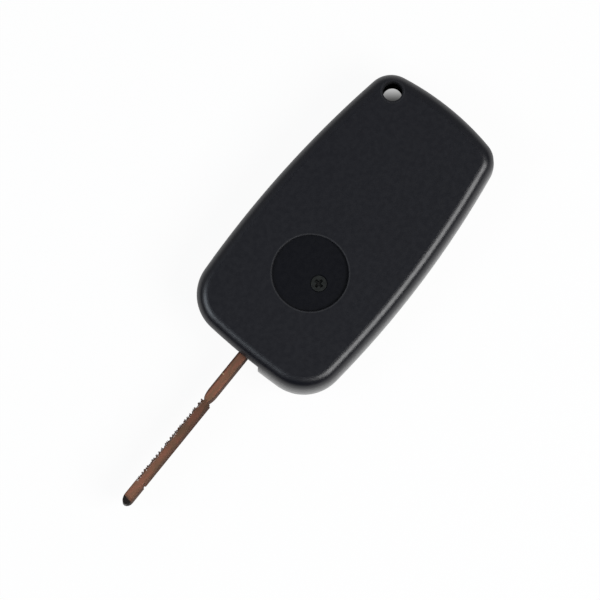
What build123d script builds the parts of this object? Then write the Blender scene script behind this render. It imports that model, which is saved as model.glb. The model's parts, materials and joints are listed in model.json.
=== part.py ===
from build123d import *
from math import radians, tan
import os

# Key fob shell with a folding blade, in millimetres.
# The front face with its keycaps lies on the plane z = 0, and the rear face looks up.
# X runs along the case towards the blade, and the blade slot opens on the -Y side.

# Case plan: four large arcs with rounded corners
CASE_LENGTH = 65.9
CASE_WIDTH = 36.2
CASE_THICK = 15.0
BLADE_END_ARC = 138.0
BLADE_END_APEX_Y = 0.8
RING_END_ARC = 57.0
RING_END_APEX_Y = 0.4
PLAIN_SIDE_ARC = 201.0
PLAIN_SIDE_APEX_X = 4.8
SLOT_SIDE_ARC = 220.0
SLOT_SIDE_APEX_X = 9.4
CORNER_BLADE_SLOT = 9.1
CORNER_BLADE_PLAIN = 9.3
CORNER_RING_PLAIN = 4.9
CORNER_RING_SLOT = 5.6
CORNER_LEAST = 0.3

# Case section
DRAFT_ANGLE = 1.0
WIDEST_Z = 6.0
REAR_EDGE_ROUND = 2.4
FRONT_EDGE_ROUND = 1.6
OUTER_WALL = 1.6
FRONT_WALL = 1.6
REAR_WALL = 1.6
INNER_WALL = 1.2
SPLIT_GROOVE = 0.12
LIP_THICK = 0.7
LIP_DEPTH = 0.7
LIP_FIT = 0.05
FLOOR_SET_BACK = 0.9
OPENING_EDGE = 0.15

# Key ring hole in the corner
RING_HOLE_R = 2.0
RING_HOLE_ROUND = 0.45
RING_BOSS_R = 4.1
RING_HOLE_FROM_END = 4.9
RING_HOLE_FROM_AXIS = 10.5
HOLE_OVERRUN = 1.0

# Bare round recess of the rear face, with the case screw in its floor
RECESS_DIAMETER = 15.6
RECESS_DEPTH = 0.9
RECESS_RIM_ROUND = 0.2
RECESS_FROM_BLADE_END = 21.55
RECESS_FROM_AXIS = 0.15
RECESS_FLOOR = 1.2
SCREW_X_IN_RECESS = 0.5
SCREW_Y_IN_RECESS = 2.6
SCREW_HEAD_R = 1.65
SCREW_HEAD_DEPTH = 1.0
SCREW_SHANK_R = 0.95
SCREW_LENGTH = 9.0
SCREW_SUNK = 0.1
SCREW_CLEAR = 0.15
SCREW_THREAD_FIT = 0.03
SCREW_BOSS_R = 2.4
SCREW_CROSS_WIDTH = 0.5
SCREW_CROSS_LENGTH = 2.0
SCREW_CROSS_DEPTH = 0.6

# Blade, with its middle height at the middle of the case
BLADE_HEIGHT = 8.0
BLADE_THICK = 2.05
SHANK_THICK = 1.9
BLADE_REACH = 47.3
SHOULDER_REACH = 20.6
NECK_LENGTH = 0.45
NECK_THICK = 1.1
NECK_HEIGHT = 7.2
SHANK_TAPER = 2.2
SHANK_BULGE_AT = 0.6
SHANK_BULGE = 0.75
LEDGE_DEPTH = 0.3
LEDGE_HEIGHT = 1.6
LEDGE_END = 5.5
NOTCH_WIDTH = 0.55
NOTCH_DEPTH = 0.25
NOTCH_END = 5.2
GROOVE_DEPTH = 0.4
GROOVE_HEIGHT = 2.4
NOSE_LENGTH = 1.4
TIP_SLOPE = 1.7
TIP_FACE_HEIGHT = 4.4
TANG_LENGTH = 4.8
TANG_HEIGHT = 5.0
TANG_FIT = 0.04

# Hub that turns the blade
PIVOT_FROM_END = 8.8
PIVOT_FROM_SLOT_SIDE = 11.1
BLADE_OFFSET = 6.6
HUB_R = 7.0
BLOCK_LENGTH = 7.2
BLOCK_REACH = 9.8
BLOCK_BACK = 2.0
BLOCK_CORNER = 2.0
LOWER_JOURNAL_R = 6.4
UPPER_JOURNAL_R = 5.0
UPPER_JOURNAL_HEIGHT = 1.4
JOURNAL_FIT = 0.1
END_FLOAT = 0.3
HUB_BORE_R = 3.3
PIN_R = 0.8
PIN_BORE_R = 0.45
PIN_SLIT = 0.3
PIN_FROM_BLOCK_END = 2.4
PIN_FIT = 0.02
PIN_DEPTH = 3.6

# Space round the blade and the hub
BLADE_SIDE_GAP = 0.6
BLADE_TIP_GAP = 1.3
POCKET_GAP = 0.6
BLOCK_GAP = 0.65
BLADE_EDGE_GAP = 0.4
SLOT_END_ROUND = 1.2

# Release button and its spring
CAP_R = 4.4
CAP_THICK = 1.8
CAP_SUNK = 0.3
CAP_EDGE_ROUND = 0.5
CAP_RIM = 1.2
CAP_TOP = 0.8
CAP_GAP = 0.3
SPIGOT_FIT = 0.1
FLANGE_R = 5.2
FLANGE_THICK = 1.0
FLANGE_GAP = 0.3
RELEASE_TRAVEL = 1.8
STEM_R = 2.9
STEM_TOP_Z = 7.2
GUIDE_POST_R = 1.2
GUIDE_POST_LENGTH = 7.7
GUIDE_FIT = 0.1
SPRING_WIRE_R = 0.3
SPRING_MEAN_R = 2.3
SPRING_TURNS = 5

# Keycaps and keypad
KEY_COUNT = 3
KEY_PITCH = 10.2
KEY_FIRST_FROM_PIVOT = 19.45
KEY_ROW_Y = 2.0
KEY_WIDTH = 7.8
KEY_SPAN = 17.0
KEY_CORNER = 2.4
KEY_GAP = 0.2
KEY_SUNK = 0.3
KEY_EDGE_ROUND = 0.4
KEY_DISH_R = 30.0
KEY_DISH_DEPTH = 0.3
KEY_FLANGE = 0.6
KEY_FLANGE_THICK = 0.7
KEY_STOP_GAP = 0.3
KEY_TRAVEL = 0.6
STEM_KEY_R = 1.4
STEM_KEY_LENGTH = 2.6
STEM_KEY_GAP = 0.4
MAT_THICK = 0.8
MAT_LEDGE = 1.2
MAT_EDGE_GAP = 0.1
MAT_BUMP_R = 3.1
MAT_BUMP_HEIGHT = 0.4
MAT_GAP = 0.3

# Inner frame with the rails of the battery tray
FRAME_THICK = 1.2
FRAME_EDGE_GAP = 0.15
BOSS_GAP = 0.3
RAIL_THICK = 1.1
RAIL_LENGTH = 16.0
RAIL_LOCK_GAP = 0.5

# Battery tray, a drawer for a coin cell of 20 mm
CELL_DIAMETER = 20.0
CELL_CLEAR = 0.2
CELL_DEPTH = 3.4
TRAY_WALL = 2.1
TRAY_FLOOR = 1.2
TRAY_GAP = 0.3
TRAY_CENTRE_FROM_PIVOT = 29.2
TRAY_FRONT_THICK = 1.2
TRAY_PULL = 0.3
TRAY_EJECT_R = 4.0
NAIL_NOTCH_WIDTH = 7.0
NAIL_NOTCH_HEIGHT = 1.4
NAIL_NOTCH_DEPTH = 0.6

# Quarter-turn lock of the tray
LOCK_HEAD_R = 2.3
LOCK_HEAD_FIT = 0.1
LOCK_FROM_TRAY = 3.2
LOCK_NECK_R = 1.2
LOCK_CAM_REACH = 4.1
LOCK_CAM_THICK = 1.2
LOCK_CAM_WIDTH = 1.6
LOCK_CAM_BACK = 2.4
LOCK_CAM_GAP = 0.25
LOCK_POST_THICK = 1.2
LOCK_POST_FIT = 0.1
LOCK_SLOT_WIDTH = 0.6
LOCK_SLOT_DEPTH = 0.7

# Places worked out from the sizes above
FAR = CASE_LENGTH + CASE_WIDTH
MID_Z = CASE_THICK / 2
PIVOT_X = CASE_LENGTH / 2 - PIVOT_FROM_END
PIVOT_Y = PIVOT_FROM_SLOT_SIDE - CASE_WIDTH / 2
BLADE_Y = PIVOT_Y + BLADE_OFFSET
BLADE_LOW_Z = MID_Z - BLADE_HEIGHT / 2
BLADE_HIGH_Z = MID_Z + BLADE_HEIGHT / 2
SLOT_FLOOR_Z = BLADE_LOW_Z - BLADE_EDGE_GAP
SPLIT_Z = BLADE_HIGH_Z + BLADE_EDGE_GAP
REAR_INNER_Z = CASE_THICK - REAR_WALL
SLOT_WALL_Y = PIVOT_Y - BLADE_OFFSET + BLADE_THICK / 2 + BLADE_SIDE_GAP
SLOT_END_X = PIVOT_X - BLADE_REACH - BLADE_TIP_GAP
BLOCK_END_X = PIVOT_X + BLOCK_LENGTH
BLOCK_FACE_Y = PIVOT_Y + BLOCK_REACH
RING_X = RING_HOLE_FROM_END - CASE_LENGTH / 2
RING_Y = -RING_HOLE_FROM_AXIS
BAY_SIDE_Y = BLOCK_FACE_Y + BLOCK_GAP
RECESS_X = CASE_LENGTH / 2 - RECESS_FROM_BLADE_END
RECESS_Y = -RECESS_FROM_AXIS
RECESS_R = RECESS_DIAMETER / 2
RECESS_FLOOR_Z = CASE_THICK - RECESS_DEPTH
SCREW_X = RECESS_X + SCREW_X_IN_RECESS
SCREW_Y = RECESS_Y + SCREW_Y_IN_RECESS
SCREW_TOP_Z = RECESS_FLOOR_Z - SCREW_SUNK
HUB_LOW_Z = SLOT_FLOOR_Z + END_FLOAT
HUB_HIGH_Z = SPLIT_Z - END_FLOAT
CAP_TOP_Z = CAP_SUNK + CAP_THICK
FLANGE_TOP_Z = CAP_TOP_Z + FLANGE_THICK
JOURNAL_FLOOR_Z = CAP_TOP_Z - FLANGE_GAP
JOURNAL_LOW_Z = JOURNAL_FLOOR_Z + END_FLOAT
COUNTERBORE_R = FLANGE_R + FLANGE_GAP
COUNTERBORE_TOP_Z = FLANGE_TOP_Z + RELEASE_TRAVEL + FLANGE_GAP
UPPER_JOURNAL_TOP_Z = HUB_HIGH_Z + UPPER_JOURNAL_HEIGHT
UPPER_POCKET_TOP_Z = UPPER_JOURNAL_TOP_Z + END_FLOAT
KEY_FLANGE_LOW_Z = FRONT_WALL + KEY_STOP_GAP
KEY_FLANGE_TOP_Z = KEY_FLANGE_LOW_Z + KEY_FLANGE_THICK
MAT_BUMP_LOW_Z = KEY_FLANGE_TOP_Z + KEY_TRAVEL + MAT_GAP
MAT_LOW_Z = MAT_BUMP_LOW_Z + MAT_BUMP_HEIGHT
MAT_TOP_Z = MAT_LOW_Z + MAT_THICK
FRAME_TOP_Z = MAT_TOP_Z + FRAME_THICK
TRAY_LOW_Z = FRAME_TOP_Z + TRAY_GAP
TRAY_TOP_Z = TRAY_LOW_Z + TRAY_FLOOR + CELL_DEPTH
TRAY_X = PIVOT_X - TRAY_CENTRE_FROM_PIVOT
CELL_WELL_R = CELL_DIAMETER / 2 + CELL_CLEAR
TRAY_HALF_WIDTH = CELL_WELL_R + TRAY_WALL
TRAY_ROUND_Y = SLOT_WALL_Y + TRAY_FRONT_THICK + TRAY_PULL + CELL_WELL_R
TRAY_MID_Z = (TRAY_LOW_Z + TRAY_TOP_Z) / 2
LOCK_X = TRAY_X + TRAY_HALF_WIDTH + LOCK_FROM_TRAY
LOCK_CAM_Y = SLOT_WALL_Y + LOCK_CAM_BACK
LOCK_POST_Y = LOCK_CAM_Y + LOCK_CAM_THICK + LOCK_CAM_GAP
KEY_NAMES = ["unlock_button", "lock_button", "boot_button"]
FROM_LOW = (Align.CENTER, Align.CENTER, Align.MIN)


# Plane shapes

def area(x_low, x_high, y_low, y_high):
    """Rectangle between two corners."""
    place = Pos((x_low + x_high) / 2, (y_low + y_high) / 2)
    return place * Rectangle(x_high - x_low, y_high - y_low)


def disc(x, y, radius):
    """Round area about a point."""
    return Pos(x, y) * Circle(radius)


def corner_radius(x, y):
    """Corner radius of the case plan in the quadrant of a point."""
    if x > 0:
        return CORNER_BLADE_PLAIN if y > 0 else CORNER_BLADE_SLOT
    return CORNER_RING_PLAIN if y > 0 else CORNER_RING_SLOT


def case_plan(inset=0.0):
    """Plan of the case, moved inwards by the given amount."""
    half_length = CASE_LENGTH / 2
    half_width = CASE_WIDTH / 2
    blade_end = disc(half_length - BLADE_END_ARC, BLADE_END_APEX_Y, BLADE_END_ARC - inset)
    ring_end = disc(RING_END_ARC - half_length, RING_END_APEX_Y, RING_END_ARC - inset)
    plain_side = disc(PLAIN_SIDE_APEX_X, half_width - PLAIN_SIDE_ARC, PLAIN_SIDE_ARC - inset)
    slot_side = disc(SLOT_SIDE_APEX_X, SLOT_SIDE_ARC - half_width, SLOT_SIDE_ARC - inset)
    plan = blade_end & ring_end & plain_side & slot_side
    for corner in plan.vertices():
        radius = max(corner_radius(corner.X, corner.Y) - inset, CORNER_LEAST)
        nearest = plan.vertices().sort_by_distance((corner.X, corner.Y, 0))[0]
        plan = fillet(nearest, radius)
    return plan


def slot_plan(grow=0.0):
    """Plan of the space that the blade and its hub turn in, open past the case's edge."""
    strip = area(SLOT_END_X - grow, FAR, -FAR, SLOT_WALL_Y + grow)
    inner_corner = strip.vertices().group_by(Axis.X)[0].sort_by(Axis.Y)[-1]
    strip = fillet(inner_corner, SLOT_END_ROUND + grow)
    folded_block = area(PIVOT_X - BLOCK_LENGTH - BLOCK_GAP - grow, FAR, -FAR, PIVOT_Y + grow)
    blade_bay = area(PIVOT_X - BLOCK_BACK - BLOCK_GAP - grow, FAR, -FAR, BAY_SIDE_Y + grow)
    return strip + folded_block + blade_bay + disc(PIVOT_X, PIVOT_Y, HUB_R + POCKET_GAP + grow)


def bay_plan(inset=0.0):
    """Plan of the board bay: inside the outer wall, beside the slot and the key ring boss."""
    bay = case_plan(OUTER_WALL + inset) - slot_plan(INNER_WALL + inset)
    bay -= disc(RING_X, RING_Y, RING_BOSS_R + inset)
    return bay.faces().sort_by(SortBy.AREA)[-1]


def prism(plan, z_low, z_high):
    """Upright solid of a plan between two heights."""
    return extrude(Pos(0, 0, z_low) * plan, z_high - z_low, dir=(0, 0, 1))


def block(x_low, x_high, y_low, y_high, z_low, z_high):
    """Box between two corners."""
    return prism(area(x_low, x_high, y_low, y_high), z_low, z_high)


def post(x, y, radius, z_low, z_high):
    """Upright round post or hole."""
    return prism(disc(x, y, radius), z_low, z_high)


def rod_y(x, z, radius, y_low, y_high):
    """Round rod along Y."""
    plane = Plane((x, y_low, z), x_dir=(1, 0, 0), z_dir=(0, 1, 0))
    return extrude(plane * Circle(radius), y_high - y_low)


# Case halves

def case_form():
    """Outer form of the closed case: drafted both ways from its widest level."""
    rise = CASE_THICK - WIDEST_Z
    slope = tan(radians(DRAFT_ANGLE))
    middle = case_plan()
    upper = loft([Pos(0, 0, WIDEST_Z) * middle, Pos(0, 0, CASE_THICK) * case_plan(rise * slope)], ruled=True)
    lower = loft([case_plan(WIDEST_Z * slope), Pos(0, 0, WIDEST_Z) * middle], ruled=True)
    form = lower + upper
    rear_edges = form.edges().group_by(Axis.Z)[-1]
    form = fillet(rear_edges, REAR_EDGE_ROUND)
    front_edges = form.edges().group_by(Axis.Z)[0]
    return fillet(front_edges, FRONT_EDGE_ROUND)


def split_groove():
    """Shallow V round the case where its halves meet."""
    inset = (SPLIT_Z - WIDEST_Z) * tan(radians(DRAFT_ANGLE))
    low = SPLIT_Z - 2 * SPLIT_GROOVE
    high = SPLIT_Z + 2 * SPLIT_GROOVE
    wide = case_plan(inset - SPLIT_GROOVE)
    deep = Pos(0, 0, SPLIT_Z) * case_plan(inset + SPLIT_GROOVE)
    core = loft([Pos(0, 0, low) * wide, deep], ruled=True) + loft([deep, Pos(0, 0, high) * wide], ruled=True)
    return prism(case_plan(-SPLIT_GROOVE), low, high) - core


def ring_hole():
    """Key ring hole through both halves, with a rounded mouth at each face."""
    radius = RING_HOLE_R
    mouth = RING_HOLE_ROUND
    low = -HOLE_OVERRUN
    high = CASE_THICK + HOLE_OVERRUN
    with BuildPart() as hole:
        with BuildSketch(Plane.XZ):
            with BuildLine():
                Line((0, low), (radius + mouth, low))
                Line((radius + mouth, low), (radius + mouth, 0))
                RadiusArc((radius + mouth, 0), (radius, mouth), mouth)
                Line((radius, mouth), (radius, CASE_THICK - mouth))
                RadiusArc((radius, CASE_THICK - mouth), (radius + mouth, CASE_THICK), mouth)
                Line((radius + mouth, CASE_THICK), (radius + mouth, high))
                Line((radius + mouth, high), (0, high))
                Line((0, high), (0, low))
            make_face()
        revolve(axis=Axis.Z)
    return Pos(RING_X, RING_Y, 0) * hole.part


def screw_hole():
    """Countersunk hole of the case screw, with the thread's pilot below the split."""
    tip_z = SCREW_TOP_Z - SCREW_LENGTH
    head_low = SCREW_TOP_Z - SCREW_HEAD_DEPTH
    clear_r = SCREW_SHANK_R + SCREW_CLEAR
    pilot = post(SCREW_X, SCREW_Y, SCREW_SHANK_R + SCREW_THREAD_FIT, tip_z - SCREW_CLEAR, SPLIT_Z)
    neck = post(SCREW_X, SCREW_Y, clear_r, SPLIT_Z, head_low)
    sink = Cone(clear_r, SCREW_HEAD_R + SCREW_CLEAR, SCREW_HEAD_DEPTH, align=FROM_LOW)
    mouth = post(SCREW_X, SCREW_Y, SCREW_HEAD_R + SCREW_CLEAR, SCREW_TOP_Z, CASE_THICK)
    return pilot + neck + Pos(SCREW_X, SCREW_Y, head_low) * sink + mouth


def key_place(index):
    """X of one keycap."""
    return PIVOT_X - KEY_FIRST_FROM_PIVOT - index * KEY_PITCH


def key_plan(index, grow=0.0):
    """Plan of one keycap, grown by the given amount."""
    form = RectangleRounded(KEY_WIDTH + 2 * grow, KEY_SPAN + 2 * grow, KEY_CORNER + grow)
    return Pos(key_place(index), KEY_ROW_Y) * form


def key_opening(index):
    """Opening of one keycap, widened at the front face."""
    mouth = extrude(key_plan(index, KEY_GAP + OPENING_EDGE), OPENING_EDGE, dir=(0, 0, 1), taper=45)
    return prism(key_plan(index, KEY_GAP), 0, FRONT_WALL) + mouth


def cap_opening():
    """Opening of the release button, widened at the front face."""
    radius = CAP_R + CAP_GAP
    mouth = Cone(radius + OPENING_EDGE, radius, OPENING_EDGE, align=FROM_LOW)
    return post(PIVOT_X, PIVOT_Y, radius, 0, JOURNAL_FLOOR_Z) + Pos(PIVOT_X, PIVOT_Y, 0) * mouth


def floor_edge():
    """Strip cut from the floor's edge below the blade, fading out round the corner."""
    mouth = area(PIVOT_X, FAR, -FAR, BAY_SIDE_Y)
    return prism(mouth - Pos(-FLOOR_SET_BACK, 0) * case_plan(), 0, SLOT_FLOOR_Z)


def tray_window():
    """Window and lock hole in the wall between the slot and the board bay."""
    half = TRAY_HALF_WIDTH + TRAY_GAP
    back = SLOT_WALL_Y + 2 * INNER_WALL
    window = block(TRAY_X - half, TRAY_X + half, SLOT_WALL_Y - INNER_WALL, back,
                   TRAY_LOW_Z - TRAY_GAP, TRAY_TOP_Z + TRAY_GAP)
    lock_hole = rod_y(LOCK_X, TRAY_MID_Z, LOCK_HEAD_R + LOCK_HEAD_FIT, SLOT_WALL_Y - INNER_WALL, back)
    return window + lock_hole


def front_case():
    """Front half: side walls, blade slot, hub seat, board bay and keycap openings."""
    half = case_form() & block(-FAR, FAR, -FAR, FAR, 0, SPLIT_Z)
    half -= split_groove()
    half -= prism(slot_plan(), SLOT_FLOOR_Z, SPLIT_Z) + floor_edge()
    half -= prism(bay_plan(MAT_LEDGE), FRONT_WALL, MAT_LOW_Z)
    half -= prism(bay_plan(), MAT_LOW_Z, SPLIT_Z)
    half += post(SCREW_X, SCREW_Y, SCREW_BOSS_R, FRONT_WALL, SPLIT_Z)
    half -= post(PIVOT_X, PIVOT_Y, LOWER_JOURNAL_R + JOURNAL_FIT, JOURNAL_FLOOR_Z, SLOT_FLOOR_Z)
    half -= cap_opening()
    for index in range(KEY_COUNT):
        half -= key_opening(index)
    half -= tray_window()
    half -= screw_hole()
    return half - ring_hole()


def recess():
    """Round bare recess with a rounded rim."""
    well = post(RECESS_X, RECESS_Y, RECESS_R, RECESS_FLOOR_Z, CASE_THICK)
    rim = post(RECESS_X, RECESS_Y, RECESS_R + RECESS_RIM_ROUND, CASE_THICK - RECESS_RIM_ROUND, CASE_THICK)
    ring = Torus(RECESS_R + RECESS_RIM_ROUND, RECESS_RIM_ROUND)
    return well + (rim - Pos(RECESS_X, RECESS_Y, CASE_THICK - RECESS_RIM_ROUND) * ring)


def rear_cover():
    """Rear half: a lid that roofs the slot, the hub and the board bay."""
    half = case_form() & block(-FAR, FAR, -FAR, FAR, SPLIT_Z, CASE_THICK)
    half -= split_groove()
    half -= prism(bay_plan(), SPLIT_Z, REAR_INNER_Z)
    pad = disc(RECESS_X, RECESS_Y, RECESS_R + INNER_WALL) & bay_plan()
    half += prism(pad, RECESS_FLOOR_Z - RECESS_FLOOR, REAR_INNER_Z)
    half += post(SCREW_X, SCREW_Y, SCREW_BOSS_R, SPLIT_Z, REAR_INNER_Z)
    lip = bay_plan(LIP_FIT) - bay_plan(LIP_FIT + LIP_THICK)
    half += prism(lip, SPLIT_Z - LIP_DEPTH, SPLIT_Z)
    half += prism(bay_plan() - bay_plan(LIP_FIT + LIP_THICK), SPLIT_Z, REAR_INNER_Z)
    half -= recess()
    half -= post(PIVOT_X, PIVOT_Y, UPPER_JOURNAL_R + JOURNAL_FIT, SPLIT_Z, UPPER_POCKET_TOP_Z)
    half += post(PIVOT_X, PIVOT_Y, GUIDE_POST_R, UPPER_POCKET_TOP_Z - GUIDE_POST_LENGTH, UPPER_POCKET_TOP_Z)
    half -= screw_hole()
    return half - ring_hole()


def case_screw():
    """Countersunk screw with a cross recess."""
    head_low = SCREW_TOP_Z - SCREW_HEAD_DEPTH
    head = Pos(0, 0, head_low) * Cone(SCREW_SHANK_R, SCREW_HEAD_R, SCREW_HEAD_DEPTH, align=FROM_LOW)
    tip_z = SCREW_TOP_Z - SCREW_LENGTH
    tip = Pos(0, 0, tip_z) * Cone(SCREW_SHANK_R / 2, SCREW_SHANK_R, SCREW_SHANK_R, align=FROM_LOW)
    shank = post(0, 0, SCREW_SHANK_R, tip_z + SCREW_SHANK_R, head_low)
    screw = head + tip + shank
    bar = Rectangle(SCREW_CROSS_LENGTH, SCREW_CROSS_WIDTH)
    cross = bar + Rot(0, 0, 90) * bar
    screw -= prism(cross, SCREW_TOP_Z - SCREW_CROSS_DEPTH, SCREW_TOP_Z)
    return Pos(SCREW_X, SCREW_Y, 0) * screw


# Blade and hub

def shank_plan():
    """Plan of the shank and its neck, about the blade's middle line."""
    start = BLOCK_END_X
    neck_start = PIVOT_X + SHOULDER_REACH - NECK_LENGTH
    taper_start = neck_start - SHANK_TAPER
    full = SHANK_THICK / 2
    neck = NECK_THICK / 2
    bulge_x = taper_start + SHANK_BULGE_AT * SHANK_TAPER
    bulge_y = neck + SHANK_BULGE * (full - neck)
    shoulder = PIVOT_X + SHOULDER_REACH
    with BuildSketch() as plan:
        with BuildLine():
            Line((start, -full), (taper_start, -full))
            ThreePointArc((taper_start, -full), (bulge_x, -bulge_y), (neck_start, -neck))
            Line((neck_start, -neck), (shoulder, -neck))
            Line((shoulder, -neck), (shoulder, neck))
            Line((shoulder, neck), (neck_start, neck))
            ThreePointArc((neck_start, neck), (bulge_x, bulge_y), (taper_start, full))
            Line((taper_start, full), (start, full))
            Line((start, full), (start, -full))
        make_face()
    return plan.sketch


def blade_bit():
    """Blade past its shoulder: grooved faces, a ledge on two edges and a sloped tip."""
    shoulder = PIVOT_X + SHOULDER_REACH
    tip = PIVOT_X + BLADE_REACH
    half = BLADE_THICK / 2
    bit = block(shoulder, tip, -half, half, BLADE_LOW_Z, BLADE_HIGH_Z)
    ledge_x = tip - LEDGE_END
    bit -= block(shoulder, ledge_x, -half, LEDGE_DEPTH - half, BLADE_HIGH_Z - LEDGE_HEIGHT, BLADE_HIGH_Z)
    bit -= block(shoulder, ledge_x, half - LEDGE_DEPTH, half, BLADE_LOW_Z, BLADE_LOW_Z + LEDGE_HEIGHT)
    notch_end = tip - NOTCH_END
    bit -= block(notch_end - NOTCH_WIDTH, notch_end, half - NOTCH_DEPTH, half, BLADE_LOW_Z, BLADE_HIGH_Z)
    groove_low = MID_Z - GROOVE_HEIGHT / 2
    groove_high = MID_Z + GROOVE_HEIGHT / 2
    bit -= block(shoulder, ledge_x, half - GROOVE_DEPTH, half, groove_low, groove_high)
    bit -= block(shoulder, ledge_x, -half, GROOVE_DEPTH - half, groove_low, groove_high)
    return bit & tip_limit(tip, half)


def tip_limit(tip, half):
    """Space that the blade's end stays within: sloped at both edges and rounded in plan."""
    back = PIVOT_X
    nose = TIP_FACE_HEIGHT / 2
    full = BLADE_HEIGHT / 2
    with BuildPart() as limit:
        with BuildSketch(Plane.XZ.offset(-half)):
            with BuildLine():
                Polyline((back, MID_Z - full), (tip - TIP_SLOPE, MID_Z - full), (tip, MID_Z - nose),
                         (tip, MID_Z + nose), (tip - TIP_SLOPE, MID_Z + full), (back, MID_Z + full),
                         close=True)
            make_face()
        extrude(amount=2 * half)
    nose_start = tip - NOSE_LENGTH
    plan = area(back, nose_start, -half, half) + Pos(nose_start, 0) * Ellipse(NOSE_LENGTH, half)
    return limit.part & prism(plan, 0, CASE_THICK)


def key_blade():
    """Uncut blade with a long shank, a necked stop and a tang in the hub."""
    shank = prism(shank_plan(), BLADE_LOW_Z, BLADE_HIGH_Z)
    neck_cut = (BLADE_HEIGHT - NECK_HEIGHT) / 2
    neck_start = PIVOT_X + SHOULDER_REACH - NECK_LENGTH
    shoulder = PIVOT_X + SHOULDER_REACH
    for low in (BLADE_LOW_Z, BLADE_HIGH_Z - neck_cut):
        shank -= block(neck_start, shoulder, -SHANK_THICK, SHANK_THICK, low, low + neck_cut)
    half = SHANK_THICK / 2
    tang = block(BLOCK_END_X - TANG_LENGTH, BLOCK_END_X, -half, half,
                 MID_Z - TANG_HEIGHT / 2, MID_Z + TANG_HEIGHT / 2)
    blade = Pos(0, BLADE_Y, 0) * (shank + tang + blade_bit())
    return blade - pin_hole()


def pin_hole():
    """Hole of the roll pin through the hub block and the tang."""
    return rod_y(BLOCK_END_X - PIN_FROM_BLOCK_END, MID_Z, PIN_R + PIN_FIT,
                 BLOCK_FACE_Y - PIN_DEPTH - PIN_R, BLOCK_FACE_Y)


def hub_plan():
    """Plan of the hub: a round drum with the block that grips the blade."""
    grip = area(PIVOT_X - BLOCK_BACK, BLOCK_END_X, PIVOT_Y, BLOCK_FACE_Y)
    outer_corners = grip.vertices().group_by(Axis.Y)[-1]
    grip = fillet(outer_corners, BLOCK_CORNER)
    return grip + disc(PIVOT_X, PIVOT_Y, HUB_R)


def blade_hub():
    """Hub with two journals, a stepped bore for the plunger and a socket for the tang."""
    hub = prism(hub_plan(), HUB_LOW_Z, HUB_HIGH_Z)
    hub += post(PIVOT_X, PIVOT_Y, LOWER_JOURNAL_R, JOURNAL_LOW_Z, HUB_LOW_Z)
    hub += post(PIVOT_X, PIVOT_Y, UPPER_JOURNAL_R, HUB_HIGH_Z, UPPER_JOURNAL_TOP_Z)
    hub -= post(PIVOT_X, PIVOT_Y, COUNTERBORE_R, JOURNAL_LOW_Z, COUNTERBORE_TOP_Z)
    hub -= post(PIVOT_X, PIVOT_Y, HUB_BORE_R, COUNTERBORE_TOP_Z, UPPER_JOURNAL_TOP_Z)
    half = SHANK_THICK / 2 + TANG_FIT
    rise = TANG_HEIGHT / 2 + TANG_FIT
    hub -= block(BLOCK_END_X - TANG_LENGTH - TANG_FIT, BLOCK_END_X, BLADE_Y - half, BLADE_Y + half,
                 MID_Z - rise, MID_Z + rise)
    return hub - pin_hole()


def blade_pin():
    """Roll pin: a split tube."""
    x = BLOCK_END_X - PIN_FROM_BLOCK_END
    low = BLOCK_FACE_Y - PIN_DEPTH - PIN_R + PIN_FIT
    high = BLOCK_FACE_Y - PIN_R
    pin = rod_y(x, MID_Z, PIN_R, low, high) - rod_y(x, MID_Z, PIN_BORE_R, low, high)
    return pin - block(x - PIN_SLIT / 2, x + PIN_SLIT / 2, low, high, MID_Z, MID_Z + 2 * PIN_R)


# Release button

def release_cap():
    """Bright cap of the release button."""
    cap = post(0, 0, CAP_R, CAP_SUNK, CAP_TOP_Z)
    cap = fillet(cap.edges().group_by(Axis.Z)[0], CAP_EDGE_ROUND)
    cap -= post(0, 0, CAP_R - CAP_RIM, CAP_SUNK + CAP_TOP, CAP_TOP_Z)
    return Pos(PIVOT_X, PIVOT_Y, 0) * cap


def release_plunger():
    """Plunger behind the cap: spigot, flange and a bored stem."""
    plunger = post(0, 0, CAP_R - CAP_RIM - SPIGOT_FIT, CAP_SUNK + CAP_TOP + SPIGOT_FIT, CAP_TOP_Z)
    plunger += post(0, 0, FLANGE_R, CAP_TOP_Z, FLANGE_TOP_Z)
    plunger += post(0, 0, STEM_R, FLANGE_TOP_Z, STEM_TOP_Z)
    bore_floor = UPPER_POCKET_TOP_Z - GUIDE_POST_LENGTH - RELEASE_TRAVEL - GUIDE_FIT
    plunger -= post(0, 0, GUIDE_POST_R + GUIDE_FIT, bore_floor, STEM_TOP_Z)
    return Pos(PIVOT_X, PIVOT_Y, 0) * plunger


def hub_spring():
    """Coil spring between the plunger and the rear cover."""
    low = STEM_TOP_Z + SPRING_WIRE_R
    height = UPPER_POCKET_TOP_Z - SPRING_WIRE_R - low
    path = Helix(height / SPRING_TURNS, height, SPRING_MEAN_R)
    section = Plane(path @ 0, z_dir=path % 0) * Circle(SPRING_WIRE_R)
    coil = sweep(section, path, is_frenet=True)
    return Pos(PIVOT_X, PIVOT_Y, low) * coil


# Keycaps, keypad and inner frame

def keycap(index):
    """Keycap with a dished face, a flange behind the front wall and a stem."""
    cap = prism(key_plan(index), KEY_SUNK, KEY_FLANGE_LOW_Z)
    cap = fillet(cap.edges().group_by(Axis.Z)[0], KEY_EDGE_ROUND)
    dish = rod_y(key_place(index), KEY_SUNK + KEY_DISH_DEPTH - KEY_DISH_R, KEY_DISH_R, -FAR, FAR)
    cap -= dish
    cap += prism(key_plan(index, KEY_FLANGE), KEY_FLANGE_LOW_Z, KEY_FLANGE_TOP_Z)
    stem_top = KEY_FLANGE_TOP_Z + STEM_KEY_LENGTH
    return cap + post(key_place(index), KEY_ROW_Y, STEM_KEY_R, KEY_FLANGE_TOP_Z, stem_top)


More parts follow.
